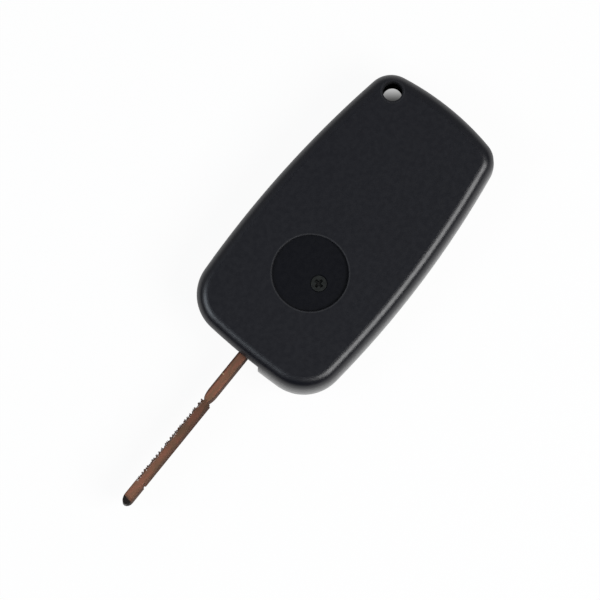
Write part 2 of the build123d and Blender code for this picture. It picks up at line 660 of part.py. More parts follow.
def stem_holes(z_low, z_high):
    """Holes that the stems of the keycaps pass through."""
    radius = STEM_KEY_R + STEM_KEY_GAP
    holes = [post(key_place(i), KEY_ROW_Y, radius, z_low, z_high) for i in range(KEY_COUNT)]
    return holes[0] + holes[1:]


def keypad_mat():
    """Soft mat behind the keycaps, with a round bump over each."""
    keys_end = key_place(0) + KEY_WIDTH / 2 + MAT_LEDGE
    plan = bay_plan(MAT_EDGE_GAP) & area(-FAR, keys_end, -FAR, FAR)
    mat = prism(plan, MAT_LOW_Z, MAT_TOP_Z)
    for index in range(KEY_COUNT):
        mat += post(key_place(index), KEY_ROW_Y, MAT_BUMP_R, MAT_BUMP_LOW_Z, MAT_LOW_Z)
    mat -= post(SCREW_X, SCREW_Y, SCREW_BOSS_R + BOSS_GAP, MAT_LOW_Z, MAT_TOP_Z)
    return mat - stem_holes(MAT_BUMP_LOW_Z, MAT_TOP_Z)


def tray_rails():
    """Upright rails at both sides of the tray, and the post behind its lock."""
    inner = TRAY_HALF_WIDTH + TRAY_GAP
    outer = inner + RAIL_THICK
    start = LOCK_CAM_Y + LOCK_CAM_THICK + RAIL_LOCK_GAP
    right = block(TRAY_X + inner, TRAY_X + outer, start, start + RAIL_LENGTH, FRAME_TOP_Z, TRAY_TOP_Z)
    left = block(TRAY_X - outer, TRAY_X - inner, start, start + RAIL_LENGTH, FRAME_TOP_Z, TRAY_TOP_Z)
    reach = LOCK_HEAD_R
    lock_post = block(LOCK_X - reach, LOCK_X + reach, LOCK_POST_Y, LOCK_POST_Y + LOCK_POST_THICK,
                      FRAME_TOP_Z, TRAY_MID_Z + reach)
    lock_post -= rod_y(LOCK_X, TRAY_MID_Z, LOCK_NECK_R + LOCK_POST_FIT,
                       LOCK_POST_Y, LOCK_POST_Y + LOCK_POST_THICK)
    return right + left + lock_post


def inner_frame():
    """Carrier of the circuit board, with the rails of the battery tray."""
    frame = prism(bay_plan(FRAME_EDGE_GAP), MAT_TOP_Z, FRAME_TOP_Z)
    frame -= post(SCREW_X, SCREW_Y, SCREW_BOSS_R + BOSS_GAP, MAT_TOP_Z, FRAME_TOP_Z)
    frame -= stem_holes(MAT_TOP_Z, FRAME_TOP_Z)
    return frame + tray_rails()


# Battery tray and its lock

def battery_tray():
    """Drawer for the coin cell: a round-ended tray with a front plate in the slot's wall."""
    front = SLOT_WALL_Y
    body = area(TRAY_X - TRAY_HALF_WIDTH, TRAY_X + TRAY_HALF_WIDTH, front, TRAY_ROUND_Y)
    body += disc(TRAY_X, TRAY_ROUND_Y, TRAY_HALF_WIDTH)
    tray = prism(body, TRAY_LOW_Z, TRAY_TOP_Z)
    tray -= post(TRAY_X, TRAY_ROUND_Y, CELL_WELL_R, TRAY_LOW_Z + TRAY_FLOOR, TRAY_TOP_Z)
    tray -= post(TRAY_X, TRAY_ROUND_Y, TRAY_EJECT_R, TRAY_LOW_Z, TRAY_LOW_Z + TRAY_FLOOR)
    side = TRAY_X + TRAY_HALF_WIDTH
    bite = LOCK_CAM_REACH - LOCK_FROM_TRAY + LOCK_CAM_GAP
    half = LOCK_CAM_WIDTH / 2 + LOCK_CAM_GAP
    tray -= block(side - bite, side, LOCK_CAM_Y - LOCK_CAM_GAP, LOCK_CAM_Y + LOCK_CAM_THICK + LOCK_CAM_GAP,
                  TRAY_MID_Z - half, TRAY_TOP_Z)
    notch = NAIL_NOTCH_WIDTH / 2
    return tray - block(TRAY_X - notch, TRAY_X + notch, front, front + NAIL_NOTCH_DEPTH,
                        TRAY_MID_Z - NAIL_NOTCH_HEIGHT / 2, TRAY_MID_Z + NAIL_NOTCH_HEIGHT / 2)


def tray_lock():
    """Slotted quarter-turn screw, whose cam turns into the tray's side."""
    back = LOCK_POST_Y + LOCK_POST_THICK
    lock = rod_y(LOCK_X, TRAY_MID_Z, LOCK_HEAD_R, SLOT_WALL_Y, SLOT_WALL_Y + INNER_WALL)
    lock += rod_y(LOCK_X, TRAY_MID_Z, LOCK_NECK_R, SLOT_WALL_Y + INNER_WALL, back)
    half = LOCK_CAM_WIDTH / 2
    arm = block(LOCK_X - half, LOCK_X + half, LOCK_CAM_Y, LOCK_CAM_Y + LOCK_CAM_THICK,
                TRAY_MID_Z, TRAY_MID_Z + LOCK_CAM_REACH)
    arm &= rod_y(LOCK_X, TRAY_MID_Z, LOCK_CAM_REACH, LOCK_CAM_Y, LOCK_CAM_Y + LOCK_CAM_THICK)
    slot = block(LOCK_X - LOCK_SLOT_WIDTH / 2, LOCK_X + LOCK_SLOT_WIDTH / 2,
                 SLOT_WALL_Y, SLOT_WALL_Y + LOCK_SLOT_DEPTH, 0, CASE_THICK)
    return lock + arm - slot


def all_parts():
    """Every node by name."""
    parts = {
        "front_case": front_case(),
        "rear_cover": rear_cover(),
        "case_screw": case_screw(),
        "key_blade": key_blade(),
        "blade_hub": blade_hub(),
        "blade_pin": blade_pin(),
        "release_cap": release_cap(),
        "release_plunger": release_plunger(),
        "hub_spring": hub_spring(),
        "keypad_mat": keypad_mat(),
        "inner_frame": inner_frame(),
        "battery_tray": battery_tray(),
        "tray_lock": tray_lock(),
    }
    for index, name in enumerate(KEY_NAMES):
        parts[name] = keycap(index)
    return parts


os.makedirs("parts", exist_ok=True)
for name, solid in all_parts().items():
    export_step(solid, f"parts/{name}.step")
    print(name, round(solid.volume, 2))
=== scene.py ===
"""Dresses the key fob shell: finishes for every solid, finer blade, screw, spring and cap, and the photo's view.

Lengths are in metres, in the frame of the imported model: +X towards the extended blade, +Z up to the rear face.
"""

import json
import logging
import math
from dataclasses import dataclass
from enum import Enum

import bpy
import numpy as np
from mathutils import Matrix, Vector


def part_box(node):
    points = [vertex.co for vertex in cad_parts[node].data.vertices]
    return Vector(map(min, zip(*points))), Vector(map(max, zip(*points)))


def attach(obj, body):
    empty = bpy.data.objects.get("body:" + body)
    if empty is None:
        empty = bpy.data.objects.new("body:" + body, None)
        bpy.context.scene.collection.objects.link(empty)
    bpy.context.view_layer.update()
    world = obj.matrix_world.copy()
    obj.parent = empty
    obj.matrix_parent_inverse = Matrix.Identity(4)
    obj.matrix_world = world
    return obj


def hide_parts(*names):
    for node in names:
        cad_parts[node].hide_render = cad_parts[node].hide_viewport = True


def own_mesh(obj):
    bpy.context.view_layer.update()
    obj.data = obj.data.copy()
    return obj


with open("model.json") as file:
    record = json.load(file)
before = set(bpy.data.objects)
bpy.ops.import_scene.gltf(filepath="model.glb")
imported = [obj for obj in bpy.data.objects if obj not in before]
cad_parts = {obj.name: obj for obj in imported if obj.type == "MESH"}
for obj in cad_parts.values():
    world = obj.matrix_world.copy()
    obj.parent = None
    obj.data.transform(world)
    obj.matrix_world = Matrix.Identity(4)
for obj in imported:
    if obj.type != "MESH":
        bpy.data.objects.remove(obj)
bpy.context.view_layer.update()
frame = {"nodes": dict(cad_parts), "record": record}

MM = 0.001
log = logging.getLogger("fob")

Colour = tuple[float, float, float, float]
Socket = bpy.types.NodeSocket
Array = np.ndarray
Materials = dict[str, bpy.types.Material]
WHITE: Colour = (1.0, 1.0, 1.0, 1.0)
UP = Vector((0.0, 0.0, 1.0))


def srgb(red: float, green: float, blue: float) -> Colour:
    """Turns a colour of 0 to 255 per channel into the linear one that a shader takes, with an alpha of one."""
    channels = np.array([red, green, blue]) / 255.0
    return (*np.where(channels <= 0.04045, channels / 12.92, ((channels + 0.055) / 1.055) ** 2.4).tolist(), 1.0)


def shade(colour: Colour, factor: float) -> Colour:
    """Scales a colour's three channels by a factor."""
    return (colour[0] * factor, colour[1] * factor, colour[2] * factor, 1.0)


def link(name: str, data: bpy.types.ID) -> bpy.types.Object:
    """Makes an object of a mesh, a light or a camera, and puts it in the scene."""
    item = bpy.data.objects.new(name, data)
    bpy.context.collection.objects.link(item)
    return item


@dataclass
class Sheet:
    """A node tree that is filled by short calls."""

    tree: bpy.types.NodeTree

    def put(self, socket: Socket, value: object) -> None:
        """Links an output to the socket, or sets its value."""
        if isinstance(value, Socket):
            self.tree.links.new(value, socket)
        else:
            socket.default_value = value

    def feed(self, node: bpy.types.Node, **sockets: object) -> None:
        """Feeds a node's inputs, which are named with an underscore for a space."""
        for name, value in sockets.items():
            self.put(node.inputs[name.replace("_", " ")], value)

    def add(self, kind: str, settings: dict | None = None, values: tuple = (), **sockets: object) -> bpy.types.Node:
        """Adds a node.

        Args:
            kind: the node's type, without the leading ShaderNode.
            settings: the node's own properties.
            values: what feeds its first inputs, in order.
            sockets: what feeds its inputs, by name.

        Returns:
            The new node.
        """
        node = self.tree.nodes.new("ShaderNode" + kind)
        for name, value in (settings or {}).items():
            setattr(node, name, value)
        for socket, value in zip(node.inputs, values):
            self.put(socket, value)
        self.feed(node, **sockets)
        return node

    def math(self, operation: str, *values: object) -> Socket:
        """Adds a Math node of up to three values and returns its result."""
        return self.add("Math", {"operation": operation}, values).outputs[0]

    def product(self, first: object, second: object) -> Socket:
        """Multiplies two numbers."""
        return self.math("MULTIPLY", first, second)

    def vector(self, operation: str, *values: object) -> bpy.types.Node:
        """Adds a Vector Math node."""
        return self.add("VectorMath", {"operation": operation}, values)

    def ramp(self, value: object, low: float, high: float, out_low: float = 0.0, out_high: float = 1.0) -> Socket:
        """Maps a value from the range low to high to the range out_low to out_high, smoothly and clamped."""
        ends = {"From_Min": low, "From_Max": high, "To_Min": out_low, "To_Max": out_high}
        return self.add("MapRange", {"interpolation_type": "SMOOTHSTEP"}, Value=value, **ends).outputs["Result"]

    def split(self, vector: object) -> list[Socket]:
        """The three parts of a vector."""
        return list(self.add("SeparateXYZ", Vector=vector).outputs)

    def reach(self, parts: list[Socket], centre: tuple[float, float]) -> Socket:
        """Level distance of a split place from an upright axis: the root of the two offsets' squares."""
        off_x, off_y = (self.math("SUBTRACT", part, middle) for part, middle in zip(parts, centre))
        return self.math("SQRT", self.math("MULTIPLY_ADD", off_x, off_x, self.product(off_y, off_y)))

    def blend(self, factor: object, first: object, second: object, mode: str = "MIX", kind: str = "RGBA") -> Socket:
        """Mixes two colours or, with the kind FLOAT, two numbers.

        Args:
            factor: share of the second one.
            first: first colour or number.
            second: second colour or number.
            mode: blend type.
            kind: data type.

        Returns:
            The result socket.
        """
        node = self.add("Mix", {"data_type": kind, "blend_type": mode})
        start, out = (6, 2) if kind == "RGBA" else (2, 0)
        for index, value in ((0, factor), (start, first), (start + 1, second)):
            self.put(node.inputs[index], value)
        return node.outputs[out]


class Effect(Enum):
    """The shared surface effects, each a node group that is built once."""

    GRAIN = "moulded_grain"
    MOTTLE = "metal_mottle"
    SCRATCH = "fine_scratches"


def new_group(kind: Effect, inputs: dict[str, float], outputs: list[str]) -> tuple[Sheet, dict, dict]:
    """Starts a shader node group.

    Args:
        kind: the effect that it makes.
        inputs: names and default values of its number inputs.
        outputs: names of its number outputs.

    Returns:
        The sheet, the input sockets by name and the output sockets by name.
    """
    tree = bpy.data.node_groups.new(kind.value, "ShaderNodeTree")
    tree.interface.new_socket("Vector", in_out="INPUT", socket_type="NodeSocketVector")
    for name, value in inputs.items():
        tree.interface.new_socket(name, in_out="INPUT", socket_type="NodeSocketFloat").default_value = value
    for name in outputs:
        tree.interface.new_socket(name, in_out="OUTPUT", socket_type="NodeSocketFloat")
    entry, leave = tree.nodes.new("NodeGroupInput"), tree.nodes.new("NodeGroupOutput")
    return Sheet(tree), {s.name: s for s in entry.outputs}, {s.name: s for s in leave.inputs}


def grain_group() -> bpy.types.NodeTree:
    """Spark-eroded grain: fine cells over softer, wider waves.

    Returns:
        A group with the outputs Height and Tone.
    """
    sheet, given, out = new_group(Effect.GRAIN, {"Scale": 3500.0, "Softness": 0.5}, ["Height", "Tone"])
    cells = sheet.add("TexNoise", Vector=given["Vector"], Scale=given["Scale"], Detail=2.0, Roughness=0.6)
    wide_scale = sheet.product(given["Scale"], 0.22)
    wide = sheet.add("TexNoise", Vector=given["Vector"], Scale=wide_scale, Detail=2.0, Roughness=0.55).outputs["Fac"]
    pits = sheet.ramp(cells.outputs["Fac"], 0.35, 0.68)
    sheet.put(out["Height"], sheet.blend(given["Softness"], pits, wide, kind="FLOAT"))
    sheet.put(out["Tone"], sheet.ramp(wide, 0.3, 0.7))
    return sheet.tree


def mottle_group() -> bpy.types.NodeTree:
    """Blotches drawn out along X, with small dark specks, as on bronzed blades.

    Returns:
        A group with the outputs Blotch, Streak and Speck.
    """
    sheet, given, out = new_group(Effect.MOTTLE, {"Scale": 400.0, "Stretch": 0.35}, ["Blotch", "Streak", "Speck"])
    stretch = sheet.add("CombineXYZ", X=given["Stretch"], Y=1.0, Z=1.0).outputs[0]
    drawn = sheet.vector("MULTIPLY", given["Vector"], stretch).outputs[0]
    blotch = sheet.add("TexNoise", Vector=drawn, Scale=given["Scale"], Detail=4.0, Roughness=0.6)
    fine_scale, speck_scale = sheet.product(given["Scale"], 6.0), sheet.product(given["Scale"], 4.0)
    streak = sheet.add("TexNoise", Vector=drawn, Scale=fine_scale, Detail=3.0, Roughness=0.7)
    speck = sheet.add("TexVoronoi", Vector=given["Vector"], Scale=speck_scale)
    sheet.put(out["Blotch"], sheet.ramp(blotch.outputs["Fac"], 0.35, 0.65))
    sheet.put(out["Streak"], streak.outputs["Fac"])
    sheet.put(out["Speck"], sheet.ramp(speck.outputs["Distance"], 0.05, 0.22, 1.0, 0.0))
    return sheet.tree


def scratch_group() -> bpy.types.NodeTree:
    """Hairline scratches: thin crests of two sets of turned and squeezed waves.

    Returns:
        A group with the output Mask.
    """
    sheet, given, out = new_group(Effect.SCRATCH, {"Scale": 300.0, "Amount": 0.5}, ["Mask"])
    masks = []
    for angle in (0.5, 2.1):
        turned = sheet.add("Mapping", Vector=given["Vector"], Rotation=(0.0, 0.0, angle), Scale=(1.0, 12.0, 1.0))
        lines = sheet.add("TexNoise", Vector=turned.outputs[0], Scale=given["Scale"], Detail=2.0, Distortion=0.6)
        off = sheet.math("ABSOLUTE", sheet.math("SUBTRACT", lines.outputs["Fac"], 0.5))
        masks.append(sheet.ramp(off, 0.0, 0.012, 1.0, 0.0))
    sheet.put(out["Mask"], sheet.product(sheet.math("MAXIMUM", *masks), given["Amount"]))
    return sheet.tree


GROUP_MAKERS = {Effect.GRAIN: grain_group, Effect.MOTTLE: mottle_group, Effect.SCRATCH: scratch_group}


def effect(sheet: Sheet, kind: Effect, vector: Socket, **sockets: float) -> dict[str, Socket]:
    """Places a shared effect in a material.

    Args:
        sheet: the material's sheet.
        kind: which effect.
        vector: coordinates that the pattern follows.
        sockets: values of the group's inputs.

    Returns:
        The group's outputs by name.
    """
    node = sheet.tree.nodes.new("ShaderNodeGroup")
    node.node_tree = bpy.data.node_groups.get(kind.value) or GROUP_MAKERS[kind]()
    sheet.feed(node, Vector=vector, **sockets)
    return {socket.name: socket for socket in node.outputs}


def new_material(name: str) -> tuple[Sheet, bpy.types.Node, Socket]:
    """Starts a material with a Principled BSDF.

    Args:
        name: the material's name.

    Returns:
        The sheet, the shader and the Object coordinates.
    """
    material = bpy.data.materials.new(name)
    material.use_nodes = True
    sheet = Sheet(material.node_tree)
    return sheet, sheet.tree.nodes["Principled BSDF"], sheet.add("TexCoord").outputs["Object"]


def bump(sheet: Sheet, shader: bpy.types.Node, height: Socket, strength: float, depth: float) -> None:
    """Feeds a height into the shader's normal, with the bump's strength and its depth in metres."""
    node = sheet.add("Bump", Height=height, Strength=strength, Distance=depth)
    sheet.feed(shader, Normal=node.outputs["Normal"])


@dataclass(frozen=True)
class MouldedPlastic:
    """Moulded plastic with a spark-eroded grain."""

    name: str
    colour: Colour
    roughness: float
    grain_scale: float
    grain_depth: float
    specular: float = 0.3
    tone: float = 0.12

    def make(self) -> bpy.types.Material:
        """Builds the material and returns it."""
        sheet, shader, place = new_material(self.name)
        grain = effect(sheet, Effect.GRAIN, place, Scale=self.grain_scale)
        colour = sheet.blend(grain["Tone"], shade(self.colour, 1.0 - self.tone), shade(self.colour, 1.0 + self.tone))
        rough = sheet.ramp(grain["Height"], 0.2, 0.8, self.roughness + 0.05, self.roughness - 0.05)
        sheet.feed(shader, Base_Color=colour, Roughness=rough, Specular_IOR_Level=self.specular)
        bump(sheet, shader, grain["Height"], 0.6, self.grain_depth)
        return bpy.data.materials[self.name]


@dataclass(frozen=True)
class CasePlastic:
    """The case's charcoal plastic: grained outside, smoother and darker in the round recess."""

    name: str = "case_plastic_finish"
    colour: Colour = srgb(13, 14, 21)
    tone: float = 0.02
    worn_colour: Colour = shade(srgb(13, 14, 21), 1.6)
    recess_colour: Colour = srgb(14, 15, 20)
    recess_centre: tuple[float, float] = (11.4 * MM, -0.15 * MM)
    recess_radius: float = 7.8 * MM
    recess_low: float = 13.9 * MM
    recess_high: float = 14.7 * MM
    roughness: float = 0.32
    side_roughness: tuple[float, float] = (0.28, 0.46)
    side_heights: tuple[float, float] = (4.0 * MM, 12.6 * MM)
    recess_roughness: float = 0.22
    rim_roughness: float = 0.7
    hole_roughness: float = 0.85
    hole_centre: tuple[float, float] = (-28.05 * MM, -10.5 * MM)
    hole_radius: float = 2.45 * MM
    grain_scale: float = 4200.0
    grain_depth: float = 0.000005
    specular: float = 0.5

    def recess_mask(self, sheet: Sheet, parts: list[Socket]) -> Socket:
        """One on the recess floor and zero elsewhere.

        Args:
            sheet: the material's sheet.
            parts: the place's X, Y and Z.

        Returns:
            The mask.
        """
        distance = sheet.reach(parts, self.recess_centre)
        inside = sheet.ramp(distance, self.recess_radius, self.recess_radius + 0.05 * MM, 1.0, 0.0)
        above = sheet.ramp(parts[2], self.recess_low - 0.1 * MM, self.recess_low)
        below = sheet.ramp(parts[2], self.recess_high, self.recess_high + 0.2 * MM, 1.0, 0.0)
        return sheet.product(sheet.product(inside, above), below)

    def make(self) -> bpy.types.Material:
        """Builds the material and returns it."""
        sheet, shader, place = new_material(self.name)
        grain = effect(sheet, Effect.GRAIN, place, Scale=self.grain_scale)
        scratch = effect(sheet, Effect.SCRATCH, place, Scale=120.0, Amount=0.35)
        parts = sheet.split(place)
        mask = self.recess_mask(sheet, parts)
        outside = sheet.ramp(mask, 0.0, 1.0, 1.0, 0.0)
        face = sheet.blend(grain["Tone"], shade(self.colour, 1.0 - self.tone), shade(self.colour, 1.0 + self.tone))
        worn = sheet.blend(sheet.product(scratch["Mask"], 0.5), face, self.worn_colour)
        upward = sheet.split(sheet.add("TexCoord").outputs["Normal"])[2]
        side = sheet.ramp(parts[2], *self.side_heights, *self.side_roughness)
        upright = sheet.ramp(sheet.math("ABSOLUTE", upward), 0.1, 0.6, 1.0, 0.0)
        off_face = sheet.product(upright, sheet.math("SUBTRACT", side, self.roughness))
        facing = sheet.math("ADD", off_face, self.roughness)
        hole = sheet.reach(parts, self.hole_centre)
        in_hole = sheet.ramp(hole, self.hole_radius, self.hole_radius + 0.1 * MM, self.hole_roughness, 0.0)
        rim_from, rim_to = self.recess_radius + 0.2 * MM, self.recess_radius + 0.45 * MM
        rim = sheet.ramp(sheet.reach(parts, self.recess_centre), rim_from, rim_to, self.rim_roughness, 0.0)
        dull = sheet.math("MAXIMUM", in_hole, sheet.product(rim, outside))
        rough = sheet.math("MINIMUM", facing, sheet.ramp(mask, 0.0, 1.0, 1.0, self.recess_roughness))
        varied = sheet.math("MULTIPLY_ADD", grain["Tone"], 0.03, rough)
        sheet.feed(shader, Base_Color=sheet.blend(mask, worn, self.recess_colour),
                   Roughness=sheet.math("MAXIMUM", varied, dull), Specular_IOR_Level=self.specular)
        height = sheet.product(grain["Height"], sheet.ramp(mask, 0.0, 1.0, 1.0, 0.25))
        bump(sheet, shader, height, 0.7, self.grain_depth)
        return bpy.data.materials[self.name]


@dataclass(frozen=True)
class BronzedSteel:
    """The blade's mottled brown metal: darkened along its edges and on its flanks as painted shade, speckled on its
    milled ledge with spots that are partly bare metal and partly painted glints, and black at the tip as painted
    shade.
    """

    name: str = "blade_finish"
    brown: Colour = srgb(136, 89, 71)
    olive: Colour = srgb(114, 86, 66)
    toned: Colour = (0.52, 0.53, 0.54, 1.0)
    dark: Colour = srgb(40, 29, 24)
    # Pale of the ledge's spots: partly bare metal, partly painted glints.
    pale_glint: Colour = srgb(232, 229, 222)
    nick_colour: Colour = srgb(176, 164, 128)
    # Near-black of the painted shade on the nose.
    tip_shade_colour: Colour = srgb(24, 18, 16)
    shoulder: float = 44.93 * MM
    middle_y: float = -0.4 * MM
    middle_z: float = 7.5 * MM
    half: float = 1.0 * MM
    # The next three values set the painted shade: how much the top faces darken towards their edges, on the shank and
    # on the bit, and how much the flanks darken.
    edge_painted_shade: float = 0.7
    bit_edge_share: float = 0.55
    flank_painted_shade: float = 0.66
    side_roughness: float = 0.85
    ledge_rise: float = 3.42 * MM
    ledge_start: float = 44.8 * MM
    ledge_end: float = 66.4 * MM
    tip: float = 71.45 * MM
    tip_shade_length: float = 1.0 * MM
    tip_fade: float = 0.15 * MM
    tip_slant: float = 0.2
    nick: tuple[float, float] = (38.3 * MM, -1.2 * MM)

    def make(self) -> bpy.types.Material:
        """Builds the material and returns it."""
        sheet, shader, place = new_material(self.name)
        mottle = effect(sheet, Effect.MOTTLE, place, Scale=700.0, Stretch=0.4)
        scratch = effect(sheet, Effect.SCRATCH, place, Scale=260.0, Amount=0.5)
        parts = sheet.split(place)
        along, streak = parts[0], mottle["Streak"]
        tone = sheet.blend(self.tone(sheet, along), self.toned, WHITE)
        base = sheet.blend(1.0, sheet.blend(mottle["Blotch"], self.brown, self.olive), tone, "MULTIPLY")
        specked = sheet.blend(sheet.product(mottle["Speck"], 0.4), base, self.dark)
        offset = sheet.math("SUBTRACT", parts[1], self.middle_y)
        # Painted shade: the top faces darken towards their edges, and the flanks, told by their normals, darken as
        # though turned from the light.
        facing = sheet.split(sheet.add("TexCoord").outputs["Normal"])[1]
        side = sheet.ramp(sheet.math("ABSOLUTE", facing), 0.35, 0.75)
        uneven = sheet.math("MULTIPLY_ADD", streak, 0.5 * self.half, -0.25 * self.half)
        shaded = sheet.math("MAXIMUM", sheet.product(offset, -0.85), sheet.math("ADD", offset, uneven))
        strength = sheet.ramp(along, self.shoulder - 0.1 * MM, self.shoulder, 1.0, self.bit_edge_share)
        rim = sheet.product(strength, sheet.ramp(shaded, 0.5 * self.half, 0.95 * self.half, 0.0, self.edge_painted_shade))
        painted_edge_shade = sheet.blend(sheet.math("MAXIMUM", rim, sheet.product(side, self.flank_painted_shade)), specked, self.dark)
        off_flank = sheet.math("MULTIPLY_ADD", side, self.half, offset)
        mask = self.ledge(sheet, parts, off_flank)
        toothed = sheet.blend(mask, painted_edge_shade, self.patches(sheet, place, streak))
        spot = sheet.ramp(sheet.reach(parts, self.nick), 0.08 * MM, 0.2 * MM, 0.85, 0.0)
        marked = sheet.blend(spot, toothed, self.nick_colour)
        # Painted shade: past a slanted, wavering line the nose turns near-black, standing for the shadow on its sloped
        # end.
        slanted = sheet.math("MULTIPLY_ADD", offset, -self.tip_slant, along)
        wobble = sheet.math("MULTIPLY_ADD", streak, 0.5 * MM, slanted)
        shade_from = self.tip - self.tip_shade_length
        tip = sheet.ramp(wobble, shade_from - self.tip_fade, shade_from + self.tip_fade)
        rough = sheet.ramp(streak, 0.3, 0.7, 0.45, 0.62)
        sheet.feed(shader, Base_Color=sheet.blend(tip, marked, self.tip_shade_colour), Specular_IOR_Level=0.15,
                   Metallic=sheet.ramp(sheet.math("MAXIMUM", tip, side), 0.0, 1.0, 0.25, 0.0),
                   Roughness=sheet.math("MAXIMUM", rough, sheet.product(side, self.side_roughness)))
        bump(sheet, shader, sheet.math("SUBTRACT", streak, scratch["Mask"]), 0.4, 0.00003)
        return bpy.data.materials[self.name]

    def tone(self, sheet: Sheet, along: Socket) -> Socket:
        """How light the metal is: it lightens along the shank, starts dark at the shoulder and lightens to the tip.

        Args:
            sheet: the material's sheet.
            along: X of the point.

        Returns:
            The tone.
        """
        shank = sheet.ramp(along, self.shoulder - 12.0 * MM, self.shoulder - 4.0 * MM, 0.5, 1.0)
        bit = sheet.ramp(along, self.shoulder - 6.0 * MM, self.tip - 2.0 * MM)
        return sheet.blend(sheet.ramp(along, self.shoulder - 0.1 * MM, self.shoulder), shank, bit, kind="FLOAT")

    def patches(self, sheet: Sheet, place: Socket, streak: Socket) -> Socket:
        """Colour of the milled ledge: pale spots, partly bare metal and partly painted glints, on stained metal.

        Args:
            sheet: the material's sheet.
            place: Object coordinates.
            streak: the shared streak value.

        Returns:
            The colour.
        """
        spots = sheet.add("TexNoise", Vector=place, Scale=3200.0, Detail=2.0, Roughness=0.6).outputs["Fac"]
        stained = sheet.blend(streak, shade(self.dark, 2.4), shade(self.brown, 0.9))
        return sheet.blend(sheet.ramp(spots, 0.51, 0.62), stained, self.pale_glint)

    def ledge(self, sheet: Sheet, parts: list[Socket], offset: Socket) -> Socket:
        """One on the milled ledge along both edges of the bit, and zero elsewhere.

        Args:
            sheet: the material's sheet.
            parts: the place's X, Y and Z.
            offset: distance from the blade's middle line, raised on the flanks, which get no patches.

        Returns:
            The mask.
        """
        after = sheet.ramp(parts[0], self.ledge_start, self.ledge_start + 0.1 * MM)
        before = sheet.ramp(parts[0], self.ledge_end - 0.1 * MM, self.ledge_end, 1.0, 0.0)
        low_side = sheet.ramp(offset, -0.72 * self.half, -0.4 * self.half, 1.0, 0.0)
        rise = sheet.math("ABSOLUTE", sheet.math("SUBTRACT", parts[2], self.middle_z))
        high = sheet.ramp(rise, self.ledge_rise - 0.5 * MM, self.ledge_rise - 0.2 * MM)
        return sheet.product(sheet.product(after, before), sheet.product(low_side, high))


@dataclass(frozen=True)
class BareMetal:
    """Drawn or plated metal with hairline scratches."""

    name: str
    colour: Colour
    roughness: float

    def make(self) -> bpy.types.Material:
        """Builds the material and returns it."""
        sheet, shader, place = new_material(self.name)
        scratch = effect(sheet, Effect.SCRATCH, place, Scale=500.0, Amount=0.6)
        mottle = effect(sheet, Effect.MOTTLE, place, Scale=900.0, Stretch=1.0)
        colour = sheet.blend(mottle["Blotch"], shade(self.colour, 0.82), self.colour)
        rough = sheet.math("MULTIPLY_ADD", scratch["Mask"], 0.2, self.roughness)
        sheet.feed(shader, Base_Color=colour, Metallic=1.0, Roughness=rough)
        bump(sheet, shader, mottle["Streak"], 0.2, 0.00001)
        return bpy.data.materials[self.name]


@dataclass(frozen=True)
class BlackedScrew:
    """Blackened steel, darkest down in the cross, where painted shade darkens it."""

    name: str = "screw_finish"
    colour: Colour = srgb(28, 30, 29)
    cross_shade: Colour = srgb(17, 18, 17)
    top: float = 14.0 * MM
    depth: float = 0.3 * MM

    def make(self) -> bpy.types.Material:
        """Builds the material and returns it."""
        sheet, shader, place = new_material(self.name)
        scratch = effect(sheet, Effect.SCRATCH, place, Scale=700.0, Amount=0.6)
        mottle = effect(sheet, Effect.MOTTLE, place, Scale=1500.0, Stretch=1.0)
        worn = sheet.blend(mottle["Blotch"], shade(self.colour, 0.75), shade(self.colour, 1.25))
        # Painted shade: below the head's top the colour turns darker, down in the cross recess.
        high = sheet.ramp(sheet.split(place)[2], self.top - self.depth, self.top - 0.05 * MM)
        rough = sheet.math("MULTIPLY_ADD", scratch["Mask"], 0.15, 0.5)
        sheet.feed(shader, Base_Color=sheet.blend(high, self.cross_shade, worn), Roughness=rough, Specular_IOR_Level=0.15)
        bump(sheet, shader, mottle["Streak"], 0.3, 0.00002)
        return bpy.data.materials[self.name]


FINISHES = {
    "case_plastic": CasePlastic(),
    "blade_metal": BronzedSteel(),
    "key_plastic": MouldedPlastic("keycap_finish", srgb(40, 41, 44), 0.38, 6000.0, 0.00003, 0.4),
    "inner_plastic": MouldedPlastic("inner_plastic_finish", srgb(52, 53, 56), 0.45, 5000.0, 0.00003, 0.4),
    "hub_plastic": MouldedPlastic("hub_plastic_finish", srgb(30, 30, 33), 0.35, 5000.0, 0.00002, 0.4),
    "mat_silicone": MouldedPlastic("silicone_finish", srgb(84, 86, 90), 0.7, 3000.0, 0.00003, 0.2, 0.05),
    "steel": BareMetal("steel_finish", srgb(190, 190, 192), 0.3),
    "screw_steel": BlackedScrew(),
    "bright_chrome": BareMetal("chrome_finish", srgb(225, 226, 230), 0.12),
    "symbol_print": MouldedPlastic("symbol_print_finish", srgb(205, 206, 208), 0.5, 6000.0, 0.00001, 0.3, 0.03),
}


def dress_nodes(finishes: Materials) -> None:
    """Gives every carried-over solid the finish of its slot.

    Args:
        finishes: materials by slot name.
    """
    for entry in frame["record"]["subparts"]:
        node = frame["nodes"][entry["node"]]
        finish = finishes[entry["material_slot"]]
        for slot in node.material_slots:
            slot.material = finish
        log.info("dressed %s with %s", entry["node"], finish.name)


def smooth_step(low: float, high: float, value: Array) -> Array:
    """Zero below low, one above high, and the cubic three u squared less two u cubed between them."""
    part = np.clip((value - low) / (high - low), 0.0, 1.0)
    return part * part * (3.0 - 2.0 * part)


def signed_volume(points: Array, triangles: Array) -> float:
    """Volume inside the triangles: the sum of a sixth of each triangle's triple product about the mean point."""
    corners = (points - points.mean(axis=0))[triangles]
    return float(np.einsum("ij,ij->i", corners[:, 0], np.cross(corners[:, 1], corners[:, 2])).sum() / 6.0)


